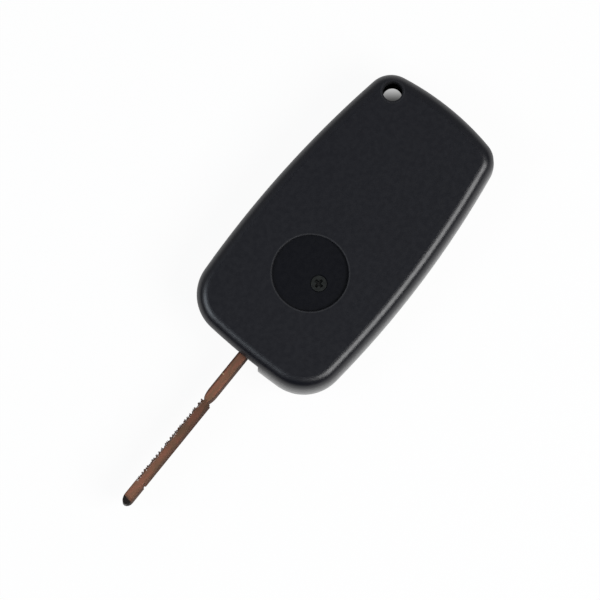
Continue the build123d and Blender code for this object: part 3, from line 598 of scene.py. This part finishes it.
@dataclass
class Shell:
    """A closed skin: rings of points along a path, closed by a pole at each end or by joining the ends."""

    rings: Array
    closed_path: bool = False

    def mesh_data(self) -> tuple[Array, list[Array]]:
        """Works out points and faces, with the faces turned outwards.

        Returns:
            The points, and the quads and triangles as arrays of point numbers.
        """
        rows, columns = self.rings.shape[:2]
        row, column = np.meshgrid(np.arange(rows if self.closed_path else rows - 1), np.arange(columns), indexing="ij")
        after, below = (column + 1) % columns, (row + 1) % rows * columns
        corners = [row * columns + column, row * columns + after, below + after, below + column]
        quads = np.stack(corners, axis=-1).reshape(-1, 4)
        points = self.rings.reshape(-1, 3)
        fans = np.zeros((0, 3), int)
        if not self.closed_path:
            rims = (np.arange(columns)[::-1], np.arange(columns) + (rows - 1) * columns)
            fans = np.concatenate([np.stack([rim, np.roll(rim, -1), np.full_like(rim, rows * columns + end)], axis=-1)
                                   for end, rim in enumerate(rims)])
            points = np.concatenate([points, self.rings[[0, -1]].mean(axis=1)])
        triangles = np.concatenate([quads[:, [0, 1, 2]], quads[:, [0, 2, 3]], fans])
        if signed_volume(points, triangles) < 0.0:
            quads, fans = quads[:, ::-1], fans[:, ::-1]
        return points, [quads, fans]


@dataclass
class Piece:
    """A modelled piece, in millimetres until its mesh is made."""

    name: str = ""
    material_slot: str = ""
    body: str = ""
    stands_for: str = ""
    sharp_angle: float = 35.0

    def shells(self) -> list[Shell]:
        """The piece's closed skins."""
        raise NotImplementedError

    def build(self, finishes: Materials) -> bpy.types.Object:
        """Makes the mesh, dresses it and lets it ride on its body.

        Args:
            finishes: materials by slot name.

        Returns:
            The new object.
        """
        points, faces, start = [], [], 0
        for shell in self.shells():
            shell_points, shell_faces = shell.mesh_data()
            points.append(shell_points)
            faces += [face for group in shell_faces for face in (group + start).tolist()]
            start += len(shell_points)
        mesh = bpy.data.meshes.new(self.name)
        mesh.from_pydata((np.concatenate(points) * MM).tolist(), [], faces)
        mesh.shade_smooth()
        mesh.set_sharp_from_angle(angle=math.radians(self.sharp_angle))
        mesh.materials.append(finishes[self.material_slot])
        piece = link(self.name, mesh)
        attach(piece, self.body)
        if self.stands_for:
            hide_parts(self.stands_for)
        log.info("built %s with %d faces", self.name, len(faces))
        return piece


def box_mm(node: str) -> tuple[Array, Array, Array]:
    """Low corner, high corner and middle of a solid's box in millimetres."""
    low, high = (np.array(corner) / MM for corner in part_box(node))
    return low, high, (low + high) / 2


def full_turn(count: int) -> Array:
    """Even angles round a circle."""
    return np.linspace(0.0, 2 * np.pi, count, endpoint=False)


def turned(centre: Array, radius: Array, height: Array, turn: Array) -> Shell:
    """A profile turned about an upright axis: X and Y are the radius times the turn's cosine and sine."""
    across, along = centre[0] + radius * np.cos(turn), centre[1] + radius * np.sin(turn)
    return Shell(np.stack([across, along, height + 0 * turn], axis=-1))


@dataclass
class KeyBlade(Piece):
    """Uncut blade: tang, shank, necked stop, and a bit with milled ledges, grooved faces and a rounded nose."""

    name: str = "key_blade_skin"
    material_slot: str = "blade_metal"
    body: str = "blade"
    stands_for: str = "key_blade"
    tang_end: float = 31.35
    tang_half_height: float = 2.5
    shank_half: float = 1.0
    shank_shift: float = -0.19
    neck_shift: float = -0.09
    taper_start: float = 42.3
    taper_reach: float = 0.8
    neck_start: float = 44.52
    neck_half: float = 0.5
    neck_half_height: float = 3.6
    shoulder: float = 44.93
    bit_half: float = 1.025
    half_height: float = 4.0
    nose_length: float = 1.4
    nose_skew: float = 0.25
    slope_length: float = 1.7
    slope_drop: float = 1.8
    ledge_end: float = 65.95
    ledge_depth: float = 0.3
    ledge_share: float = 0.0725
    groove_share: float = 0.3
    groove_depth: float = 0.4
    notch: tuple[float, float] = (65.7, 66.25)
    notch_depth: float = 0.25
    tooth_depth: float = 0.4
    burr_reach: float = 0.14
    corner: float = 0.16
    lip: float = 0.05
    step: float = 0.004

    def __post_init__(self) -> None:
        """Takes the blade's ends and middle from its solid."""
        low, high, self.centre = box_mm("key_blade")
        self.start, self.tip = low[0], high[0]

    def stations(self) -> Array:
        """X of the sections: close along the milled bit, and in tight pairs where the form steps.

        Returns:
            The sorted stations.
        """
        steps = [self.tang_end, self.neck_start, self.shoulder, self.ledge_end, *self.notch]
        pairs = [x + side * self.step / 2 for x in steps for side in (-1.0, 1.0)]
        nose_turn = np.linspace(0.0, 0.96 * np.pi / 2, 18)
        nose = self.tip - self.nose_length * (1.0 - np.sin(nose_turn))
        runs = [np.linspace(self.start, self.tang_end, 6)[:-1],
                np.linspace(self.tang_end, self.taper_start, 60)[1:],
                np.linspace(self.taper_start, self.neck_start, 24)[1:-1],
                np.arange(self.shoulder, self.tip - self.nose_length, 0.08)[1:], nose, pairs, [self.tip]]
        x = np.sort(np.concatenate(runs))
        return x[np.concatenate([[True], np.diff(x) > self.step / 4])]

    def shift(self, x: Array) -> Array:
        """How far the shank and the neck stand off the bit's middle line at each station."""
        shank = np.where(x < self.tang_end, 0.0, self.shank_shift)
        return np.where(x < self.neck_start, shank, np.where(x < self.shoulder, self.neck_shift, 0.0))

    def half_width(self, x: Array, nose_length: float) -> Array:
        """Half thickness: flat on the shank, an ellipse down to the neck, flat on the bit, an ellipse at the nose.

        Args:
            x: stations.
            nose_length: length of the nose's ellipse.

        Returns:
            Half thickness at each.
        """
        along = np.clip((x - self.taper_start) / (self.neck_start - self.taper_start), 0.0, 1.0)
        shank = self.shank_half * np.sqrt(1.0 - (self.taper_reach * along) ** 2)
        into_nose = np.clip((x - self.tip + nose_length) / nose_length, 0.0, 0.998)
        bit = self.bit_half * np.sqrt(1.0 - into_nose**2)
        return np.where(x < self.neck_start, shank, np.where(x < self.shoulder, self.neck_half, bit))

    def half_tall(self, x: Array) -> Array:
        """Half height at each station: of the tang, the shank, the neck and the bit, which slopes in to the tip."""
        into_slope = np.clip((x - self.tip + self.slope_length) / self.slope_length, 0.0, 1.0)
        tall = self.half_height - self.slope_drop * into_slope
        in_neck = (x > self.neck_start) & (x < self.shoulder)
        return np.select([x < self.tang_end, in_neck], [self.tang_half_height, self.neck_half_height], tall)

    def raggedness(self, x: Array) -> Array:
        """Unevenness of the milled ledge, from about -1 to 1: a sum of five sines of unrelated lengths."""
        lengths, shares = np.array([2.31, 1.17, 0.73, 0.47, 0.31]), np.array([0.2, 0.25, 0.25, 0.2, 0.1])
        return (shares * np.sin(2 * np.pi * x[:, None] / lengths + lengths * 9.0)).sum(axis=1)

    def teeth(self, x: Array) -> Array:
        """Bites out of the milled edge: two saw waves of unlike pitch, the coarse one wandering, under a slow swell.

        Args:
            x: stations.

        Returns:
            Depth of the bite at each, from zero to one.
        """
        past = x - self.shoulder
        coarse = np.mod(past / 1.13 + 0.35 * np.sin(2 * np.pi * past / 4.7), 1.0)
        fine = np.mod(past / 0.53 + 0.2 * np.sin(2 * np.pi * past / 2.9), 1.0)
        swell = 0.25 + 0.75 * (0.5 + 0.5 * np.cos(2 * np.pi * (past - 2.6) / 10.6))
        return np.clip(1.5 * (coarse - 0.45), 0.0, 0.8) * swell + 0.3 * np.clip(2.0 * (fine - 0.5), 0.0, 1.0)

    def shells(self) -> list[Shell]:
        """Carries the section along X.

        The section is a rectangle with rounded corners, two ledges at opposite corners and a groove in each face.

        Returns:
            One shell.
        """
        x = self.stations()
        half, tall = self.half_width(x, self.nose_length), self.half_tall(x)
        on_bit = (x > self.shoulder) & (x < self.ledge_end)
        in_notch = (x > self.notch[0]) & (x < self.notch[1])
        right = half - np.where(in_notch, self.notch_depth, 0.0)
        full_left = self.half_width(x, self.nose_length + self.nose_skew)
        bites = self.teeth(x)
        left = full_left - np.where(on_bit, self.tooth_depth * bites, 0.0)
        burr = np.where(on_bit, self.burr_reach * np.clip(1.0 - 4.0 * bites, 0.0, 1.0), 0.0)
        depth = np.where(on_bit, self.ledge_depth * (1.0 + 0.3 * self.raggedness(x)) - full_left + left, 0.0)
        back_depth = np.where(on_bit & ~in_notch, self.ledge_depth * (1.0 + 0.3 * self.raggedness(x + 7.0)), 0.0)
        groove = np.where(on_bit, self.groove_depth, 0.0)
        ledge = tall - 2 * self.ledge_share * tall
        rim = self.groove_share * tall
        round_r = np.minimum(self.corner, 0.4 * half)
        rows = [self.arc(-left, -tall, round_r, 1.0, 1.0, 180.0), self.span(-left, right - back_depth, -tall, round_r),
                self.arc(right - back_depth, -tall, round_r, -1.0, 1.0, 270.0),
                [(right - back_depth, -ledge), (right, -ledge + self.lip), (right, -rim - self.lip),
                 (right - groove, -rim), (right - groove, rim), (right, rim + self.lip)],
                self.arc(right, tall, round_r, -1.0, -1.0, 0.0), self.span(right, -left + depth, tall, round_r),
                self.arc(-left + depth, tall, round_r, 1.0, -1.0, 90.0),
                [(-left + depth, ledge), (-left - burr, ledge - 0.6 * self.lip), (-left - burr, ledge - self.lip),
                 (-left, ledge - 2 * self.lip), (-left, rim + self.lip), (-left + groove, rim),
                 (-left + groove, -rim), (-left, -rim - self.lip)]]
        loop = [point for row in rows for point in row]
        across = np.stack([point[0] for point in loop], axis=1) + self.centre[1] + self.shift(x)[:, None]
        upward = np.stack([point[1] for point in loop], axis=1) + self.centre[2]
        return [Shell(np.stack([np.broadcast_to(x[:, None], across.shape), across, upward], axis=-1))]

    def arc(self, y: Array, z: Array, radius: Array, to_y: float, to_z: float, start: float) -> list:
        """A quarter circle from its start angle, inside the corner at y and z; to_y and to_z lead inwards from it."""
        angles = np.radians(start + np.linspace(0.0, 90.0, 5))
        return [(y + radius * (to_y + np.cos(a)), z + radius * (to_z + np.sin(a))) for a in angles]

    def span(self, first: Array, last: Array, z: Array, radius: Array) -> list:
        """Four points along an edge face, between the quarter circles of its two corners."""
        inset = np.sign(last - first) * radius
        return [(first + inset + (last - first - 2 * inset) * share, z) for share in (0.2, 0.4, 0.6, 0.8)]


@dataclass
class CaseScrew(Piece):
    """Countersunk screw with a cross recess and a rolled thread."""

    name: str = "case_screw_skin"
    material_slot: str = "screw_steel"
    body: str = "case"
    stands_for: str = "case_screw"
    columns: int = 96
    head_r: float = 1.65
    head_depth: float = 1.0
    edge_round: float = 0.08
    shank_r: float = 0.95
    pitch: float = 0.9
    thread_depth: float = 0.14
    cross_half_width: float = 0.25
    cross_reach: float = 1.0
    cross_depth: float = 0.6
    cross_turn: float = -6.0

    def cross(self, across: Array, along: Array) -> Array:
        """One slot of the cross: one inside its width and reach, falling smoothly to zero at its walls."""
        inside = 1.0 - smooth_step(self.cross_half_width - 0.05, self.cross_half_width + 0.05, np.abs(across))
        return inside * (1.0 - smooth_step(self.cross_reach - 0.25, self.cross_reach, np.abs(along)))

    def shells(self) -> list[Shell]:
        """Turns the profile about the screw's axis, with the cross and the thread as heights over the turn.

        Returns:
            One shell.
        """
        low, high, centre = box_mm("case_screw")
        top, bottom = high[2], low[2]
        turn = full_turn(self.columns)
        flat = self.head_r - self.edge_round
        quarter = np.linspace(0.0, np.pi / 2, 5)[1:]
        head_r = np.concatenate([np.linspace(0.02, flat, 34), flat + self.edge_round * np.sin(quarter)])
        head_z = np.concatenate([np.full(34, top), top - self.edge_round * (1.0 - np.cos(quarter))])
        run = np.linspace(top - self.head_depth, bottom + self.shank_r, int(12 * (self.head_depth + 6) / self.pitch))
        tip_r = np.array([0.8, 0.6, 0.5]) * self.shank_r
        radius = np.concatenate([head_r, np.full(len(run), self.shank_r), tip_r])
        height = np.concatenate([head_z, run, bottom + self.shank_r * (2 * tip_r / self.shank_r - 1.0)])
        radius, height = radius[:, None] + 0 * turn, height[:, None] + 0 * turn
        wave = np.abs(((height / self.pitch - turn / (2 * np.pi)) % 1.0) * 2.0 - 1.0)
        body = smooth_step(top - self.head_depth, top - self.head_depth - 0.6, height)
        on_shank = np.where(height < top - self.head_depth + 0.01, body, 0.0)
        radius = radius - self.thread_depth * on_shank * wave
        from_cross = turn - math.radians(self.cross_turn)
        across, along = radius * np.cos(from_cross), radius * np.sin(from_cross)
        depth = self.cross_depth * np.maximum(self.cross(across, along), self.cross(along, across))
        height = height - np.where(height > top - self.edge_round, depth, 0.0)
        return [turned(centre, radius, height, turn)]


@dataclass
class ReleaseCap(Piece):
    """Bright cap of the release button: a shallow dish inside a turned lip."""

    name: str = "release_cap_skin"
    material_slot: str = "bright_chrome"
    body: str = "release"
    stands_for: str = "release_cap"
    columns: int = 128
    lip_width: float = 0.55
    dish_depth: float = 0.28
    edge_round: float = 0.5
    bore_r: float = 3.2
    bore_floor: float = 0.8

    def shells(self) -> list[Shell]:
        """Turns the profile about the cap's axis: a parabola for the dish, a cosine rise to the lip, a quarter circle.

        Returns:
            One shell.
        """
        low, high, centre = box_mm("release_cap")
        outer, face, back = (high[0] - low[0]) / 2, low[2], high[2]
        lip_r = outer - self.edge_round
        dish_r = lip_r - self.lip_width
        dish = np.linspace(0.03, dish_r, 26)
        rise = np.linspace(0.0, 1.0, 9)[1:]
        quarter = np.linspace(0.0, np.pi / 2, 9)[1:]
        wall = self.dish_depth * 0.55
        radius = [dish, dish_r + self.lip_width * rise * 0.6, [lip_r], lip_r + self.edge_round * np.sin(quarter),
                  [outer, self.bore_r, self.bore_r, 0.03]]
        height = [face + wall + (self.dish_depth - wall) * (1.0 - (dish / dish_r) ** 2),
                  face + wall * (1.0 + np.cos(np.pi * rise)) / 2, [face],
                  face + self.edge_round * (1.0 - np.cos(quarter)),
                  [back, back, face + self.bore_floor, face + self.bore_floor]]
        turn = full_turn(self.columns)
        return [turned(centre, np.concatenate(radius)[:, None], np.concatenate(height)[:, None], turn)]


@dataclass
class HubSpring(Piece):
    """Coil spring over the release plunger, with closed end turns."""

    name: str = "hub_spring_skin"
    material_slot: str = "steel"
    body: str = "case"
    stands_for: str = "hub_spring"
    wire_r: float = 0.3
    turns: float = 6.5
    closed_turns: float = 0.8
    closed_pitch: float = 0.63
    rows: int = 360
    columns: int = 16
    travel: float = 1.8
    room: float = 0.03
    ease: float = 0.3

    def shells(self) -> list[Shell]:
        """Carries the wire's circle along a helix whose pitch is small in the end turns and larger between them.

        The height is the sum of the closed pitch and of a smooth hump of extra pitch, scaled to the solid's height.

        Returns:
            One shell.
        """
        low, high, centre = box_mm("hub_spring")
        coil_r = (high[0] - low[0]) / 2 - self.wire_r
        turn = np.linspace(0.0, self.turns, self.rows)
        from_end = np.minimum(turn, self.turns - turn)
        opened = smooth_step(self.closed_turns - self.ease, self.closed_turns + self.ease, from_end)
        extra = high[2] - low[2] - 2 * self.wire_r - self.closed_pitch * self.turns
        rise = self.closed_pitch * turn + extra * np.cumsum(opened) / opened.sum()
        slope = np.gradient(rise, 2 * np.pi * turn)
        angle = 2 * np.pi * turn
        outward = np.stack([np.cos(angle), np.sin(angle), 0 * angle], axis=-1)
        upward = np.stack([slope * np.sin(angle), -slope * np.cos(angle), 0 * angle + coil_r], axis=-1)
        upward /= np.hypot(coil_r, slope)[:, None]
        path = np.array([centre[0], centre[1], low[2] + self.wire_r]) + coil_r * outward
        path[:, 2] += rise
        around = full_turn(self.columns)[:, None]
        circle = np.cos(around) * outward[:, None] + np.sin(around) * upward[:, None]
        return [Shell(path[:, None] + self.wire_r * circle)]

    def build(self, finishes: Materials) -> bpy.types.Object:
        """Makes the spring and gives it a mesh of its own.

        Args:
            finishes: materials by slot name.

        Returns:
            The new object.
        """
        piece = super().build(finishes)
        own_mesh(piece)
        return piece


class KeyMark(Enum):
    """The plain symbols on the three keycaps."""

    UNLOCK = "unlock"
    LOCK = "lock"
    BOOT = "boot"


@dataclass
class KeySymbol(Piece):
    """A printed symbol: flat ribbons that follow the keycap's dish. Up is +X and right is +Y, read from below."""

    mark: KeyMark = KeyMark.LOCK
    material_slot: str = "symbol_print"
    stroke: float = 0.3
    thick: float = 0.03
    sunk: float = 0.01
    dish_r: float = 30.0
    dish_floor: float = 0.6

    def ribbon(self, right: Array, up: Array, closed: bool = False) -> Shell:
        """A flat stroke along a path: half its width to each side of the path, along the path's normal.

        Args:
            right: the path's points to the right of the keycap's middle.
            up: the same upwards.
            closed: whether the path closes on itself.

        Returns:
            The stroke's shell.
        """
        path = np.stack([up, right], axis=-1)
        ahead = np.roll(path, -1, axis=0) - np.roll(path, 1, axis=0)
        if not closed:
            ahead[0], ahead[-1] = path[1] - path[0], path[-1] - path[-2]
        ahead /= np.linalg.norm(ahead, axis=1, keepdims=True)
        side = np.stack([-ahead[:, 1], ahead[:, 0]], axis=-1) * self.stroke / 2
        flat = np.stack([path + side, path - side, path - side, path + side], axis=1)
        low = -self.thick * np.array([1.0, 1.0, 0.0, 0.0]) + self.sunk * np.array([0.0, 0.0, 1.0, 1.0])
        dish = self.dish_floor - (self.dish_r - np.sqrt(self.dish_r**2 - flat[..., 0] ** 2))
        centre = box_mm(f"{self.mark.value}_button")[2]
        return Shell(np.stack([flat[..., 0] + centre[0], flat[..., 1] + centre[1], dish + low], axis=-1), closed)

    def ring(self, right: float, up: float, radius: float) -> Shell:
        """A round stroke about a middle."""
        turn = full_turn(48)
        return self.ribbon(right + radius * np.cos(turn), up + radius * np.sin(turn), closed=True)

    def polyline(self, corners: list[tuple[float, float]], closed: bool = False) -> Shell:
        """A stroke along straight runs: even steps along them, averaged with their neighbours to soften the corners.

        Args:
            corners: corners as pairs of right and up.
            closed: whether the last corner joins the first.

        Returns:
            The stroke's shell.
        """
        points = np.array(corners + corners[:1] if closed else corners)
        lengths = np.concatenate([[0.0], np.cumsum(np.linalg.norm(np.diff(points, axis=0), axis=1))])
        steps = np.linspace(0.0, lengths[-1], 120, endpoint=not closed)
        path = np.stack([np.interp(steps, lengths, points[:, i]) for i in (0, 1)], axis=-1)
        for _ in range(3):
            mean = (np.roll(path, 1, axis=0) + path + np.roll(path, -1, axis=0)) / 3
            path = mean if closed else np.concatenate([path[:1], mean[1:-1], path[-1:]])
        return self.ribbon(path[:, 0], path[:, 1], closed)

    def padlock(self, shackle_right: float) -> list[Shell]:
        """A padlock: its body, keyhole and shackle, which stands aside when it is open.

        Args:
            shackle_right: how far the shackle stands to the right.

        Returns:
            The strokes.
        """
        turn = np.linspace(np.pi, 0.0, 40)
        arch_right = np.concatenate([[-0.75], 0.75 * np.cos(turn), [0.75]]) + shackle_right
        arch_up = np.concatenate([[0.2], 0.65 + 0.75 * np.sin(turn), [0.2 if shackle_right == 0.0 else 0.45]])
        body = self.polyline([(-1.2, 0.1), (1.2, 0.1), (1.2, -1.6), (-1.2, -1.6)], closed=True)
        return [body, self.ribbon(arch_right, arch_up), self.ring(0.0, -0.75, 0.16)]

    def car(self) -> list[Shell]:
        """A car seen from its side with its boot lid up: the outline, two wheels and the lid.

        Returns:
            The strokes.
        """
        outline = [(-2.1, -0.6), (-2.1, 0.0), (-1.3, 0.15), (-0.7, 0.85),
                   (0.6, 0.85), (1.1, 0.2), (2.1, 0.1), (2.1, -0.6)]
        wheels = [self.ring(right, -0.75, 0.36) for right in (-1.2, 1.2)]
        sill = self.polyline([(-0.6, -0.6), (0.6, -0.6)])
        return [self.polyline(outline), self.polyline([(0.95, 0.7), (1.9, 1.35)]), sill, *wheels]

    def shells(self) -> list[Shell]:
        """The strokes of the key's symbol."""
        if self.mark is KeyMark.BOOT:
            return self.car()
        return self.padlock(1.35 if self.mark is KeyMark.UNLOCK else 0.0)


@dataclass(frozen=True)
class Softbox:
    """A square soft light: degrees off the vertical, the level direction that it leans to, and its strength."""

    name: str
    lean: float
    towards: tuple[float, float]
    distance: float
    size: float
    power: float
    colour: tuple[float, float, float] = (1.0, 1.0, 1.0)

    def place(self, target: Vector) -> None:
        """Makes the light, facing the target.

        Args:
            target: point that it faces.
        """
        data = bpy.data.lights.new(self.name, "AREA")
        data.size, data.energy, data.color = self.size, self.power, self.colour
        light = link(self.name, data)
        lean = math.radians(self.lean)
        level = Vector((*self.towards, 0.0)).normalized()
        direction = math.cos(lean) * UP + math.sin(lean) * level
        light.location = target + direction * self.distance
        light.rotation_mode = "QUATERNION"
        light.rotation_quaternion = direction.to_track_quat("Z", "Y")


@dataclass
class Studio:
    """Floor, soft lights and the camera of the photograph."""

    image_pixels: float = 600.0
    pixels_per_mm: float = 4.92
    look_at: tuple[float, float, float] = (16.994 * MM, 1.666 * MM, 15.0 * MM)
    image_right: tuple[float, float, float] = (-0.62837, 0.77792, 0.0)
    tilt_down: float = 5.26
    distance: float = 4.0
    sensor: float = 36.0
    clip: tuple[float, float] = (0.1, 20.0)
    floor_size: float = 3.0
    floor_glow: float = 0.94
    ring_hole: tuple[float, float, float] = (-28.05 * MM, -10.5 * MM, 0.0)
    hole_shade: tuple[float, float] = (0.05, 0.6)
    hole_shade_run: tuple[float, float] = (-0.8 * MM, 2.9 * MM)
    horizon_glow: float = 0.5
    overhead_glow: float = 0.03
    blade_end_share: float = 0.3
    back_glow: float = 0.26
    corner_glow: float = 0.75
    corner_direction: tuple[float, float, float] = (0.522, -0.415, 0.743)
    horizon_light: float = 0.5
    overhead_light: float = 0.12
    softboxes: tuple[Softbox, ...] = (
        Softbox("side_softbox", 38.0, (-0.2, 1.0), 0.8, 0.46, 5.4),
        Softbox("corner_softbox", 36.0, (0.78, -0.62), 0.8, 0.36, 1.9, (0.8, 0.9, 1.0)),
    )

    def camera(self) -> None:
        """Makes the camera, tilted about the image's right, with the photo's scale at the height of the rear face."""
        right, tilt = Vector(self.image_right).normalized(), math.radians(self.tilt_down)
        back = math.cos(tilt) * UP - math.sin(tilt) * UP.cross(right)
        data = bpy.data.cameras.new("camera")
        data.sensor_width = self.sensor
        data.lens = self.sensor * self.distance / (self.image_pixels / self.pixels_per_mm * MM)
        data.clip_start, data.clip_end = self.clip
        camera = link("camera", data)
        turn = Matrix((right, back.cross(right), back)).transposed()
        camera.matrix_world = Matrix.Translation(Vector(self.look_at) + back * self.distance) @ turn.to_4x4()
        bpy.context.scene.camera = camera

    def world(self) -> None:
        """Sets a pale world, white where the camera sees it.

        Gloss sees it bright round the horizon, dimmer towards the blade's tip, with weak glows from the ring's side
        and round the corner light.
        """
        world = bpy.data.worlds.new("studio")
        world.use_nodes = True
        sheet = Sheet(world.node_tree)
        direction = sheet.add("TexCoord").outputs["Generated"]
        level_x, level_y, rise = sheet.split(direction)
        horizon = sheet.ramp(rise, 0.02, 0.3, self.horizon_glow, self.overhead_glow)
        dimmed = sheet.product(horizon, sheet.ramp(level_x, 0.1, 0.6, 1.0, self.blade_end_share))
        toward_corner = sheet.vector("DOT_PRODUCT", direction, self.corner_direction).outputs["Value"]
        patch = sheet.ramp(toward_corner, 0.86, 0.97, 0.0, self.corner_glow)
        back = sheet.ramp(sheet.math("ADD", level_x, level_y), -0.8, -0.25, self.back_glow, 0.0)
        glow = sheet.math("ADD", sheet.math("ADD", dimmed, back), patch)
        light = sheet.ramp(rise, 0.05, 0.8, self.horizon_light, self.overhead_light)
        path = sheet.add("LightPath").outputs
        gloss = sheet.math("MAXIMUM", path["Is Glossy Ray"], path["Is Transmission Ray"])
        lit = sheet.blend(gloss, light, glow, kind="FLOAT")
        shown = sheet.blend(path["Is Camera Ray"], lit, 1.0, kind="FLOAT")
        sheet.feed(sheet.tree.nodes["Background"], Color=WHITE, Strength=shown)
        bpy.context.scene.world = world

    def floor(self) -> None:
        """Lays the pale floor, lifted to white where camera and gloss see it, less so under the ring hole's shade."""
        half = self.floor_size / 2
        mesh = bpy.data.meshes.new("floor")
        corners = [(-half, -half, 0.0), (half, -half, 0.0), (half, half, 0.0), (-half, half, 0.0)]
        mesh.from_pydata(corners, [], [(0, 1, 2, 3)])
        floor = link("floor", mesh)
        sheet, shader, place = new_material("floor_paper")
        fibres = sheet.add("TexNoise", Vector=place, Scale=60.0, Detail=3.0).outputs["Fac"]
        tone = sheet.blend(fibres, shade(WHITE, 0.86), shade(WHITE, 0.9))
        sheet.feed(shader, Base_Color=tone, Roughness=0.9, Specular_IOR_Level=0.1)
        path = sheet.add("LightPath").outputs
        image_up = UP.cross(Vector(self.image_right))
        from_hole = sheet.vector("SUBTRACT", place, self.ring_hole).outputs["Vector"]
        along = sheet.vector("DOT_PRODUCT", from_hole, image_up).outputs["Value"]
        shaded = sheet.product(sheet.ramp(along, *self.hole_shade_run, *self.hole_shade), path["Is Camera Ray"])
        away = sheet.vector("DISTANCE", place, self.ring_hole).outputs["Value"]
        glow_share = sheet.blend(sheet.ramp(away, 3.2 * MM, 4.6 * MM), shaded, self.floor_glow, kind="FLOAT")
        seen = sheet.math("MAXIMUM", path["Is Camera Ray"], path["Is Glossy Ray"])
        seen = sheet.math("MAXIMUM", seen, path["Is Transmission Ray"])
        glow = sheet.add("Emission", Color=WHITE, Strength=1.0)
        mixed = sheet.add("MixShader", None, (sheet.product(seen, glow_share), shader.outputs[0], glow.outputs[0]))
        sheet.feed(sheet.tree.nodes["Material Output"], Surface=mixed.outputs[0])
        mesh.materials.append(bpy.data.materials["floor_paper"])

    def build(self) -> None:
        """Makes the whole studio."""
        self.camera()
        self.world()
        self.floor()
        for softbox in self.softboxes:
            softbox.place(Vector(self.look_at))
        bpy.context.scene.view_settings.view_transform = "Standard"
        log.info("studio: camera %.2f m from the rear face", self.distance)


def main() -> None:
    """Builds everything in order."""
    logging.basicConfig(level=logging.INFO, format="%(name)s %(message)s")
    Studio().build()
    finishes = {slot: finish.make() for slot, finish in FINISHES.items()}
    dress_nodes(finishes)
    symbols = [KeySymbol(name=f"{mark.value}_symbol", body=f"{mark.value}_key", mark=mark) for mark in KeyMark]
    for piece in (KeyBlade(), CaseScrew(), ReleaseCap(), HubSpring(), *symbols):
        piece.build(finishes)


if __name__ == "__main__":
    main()
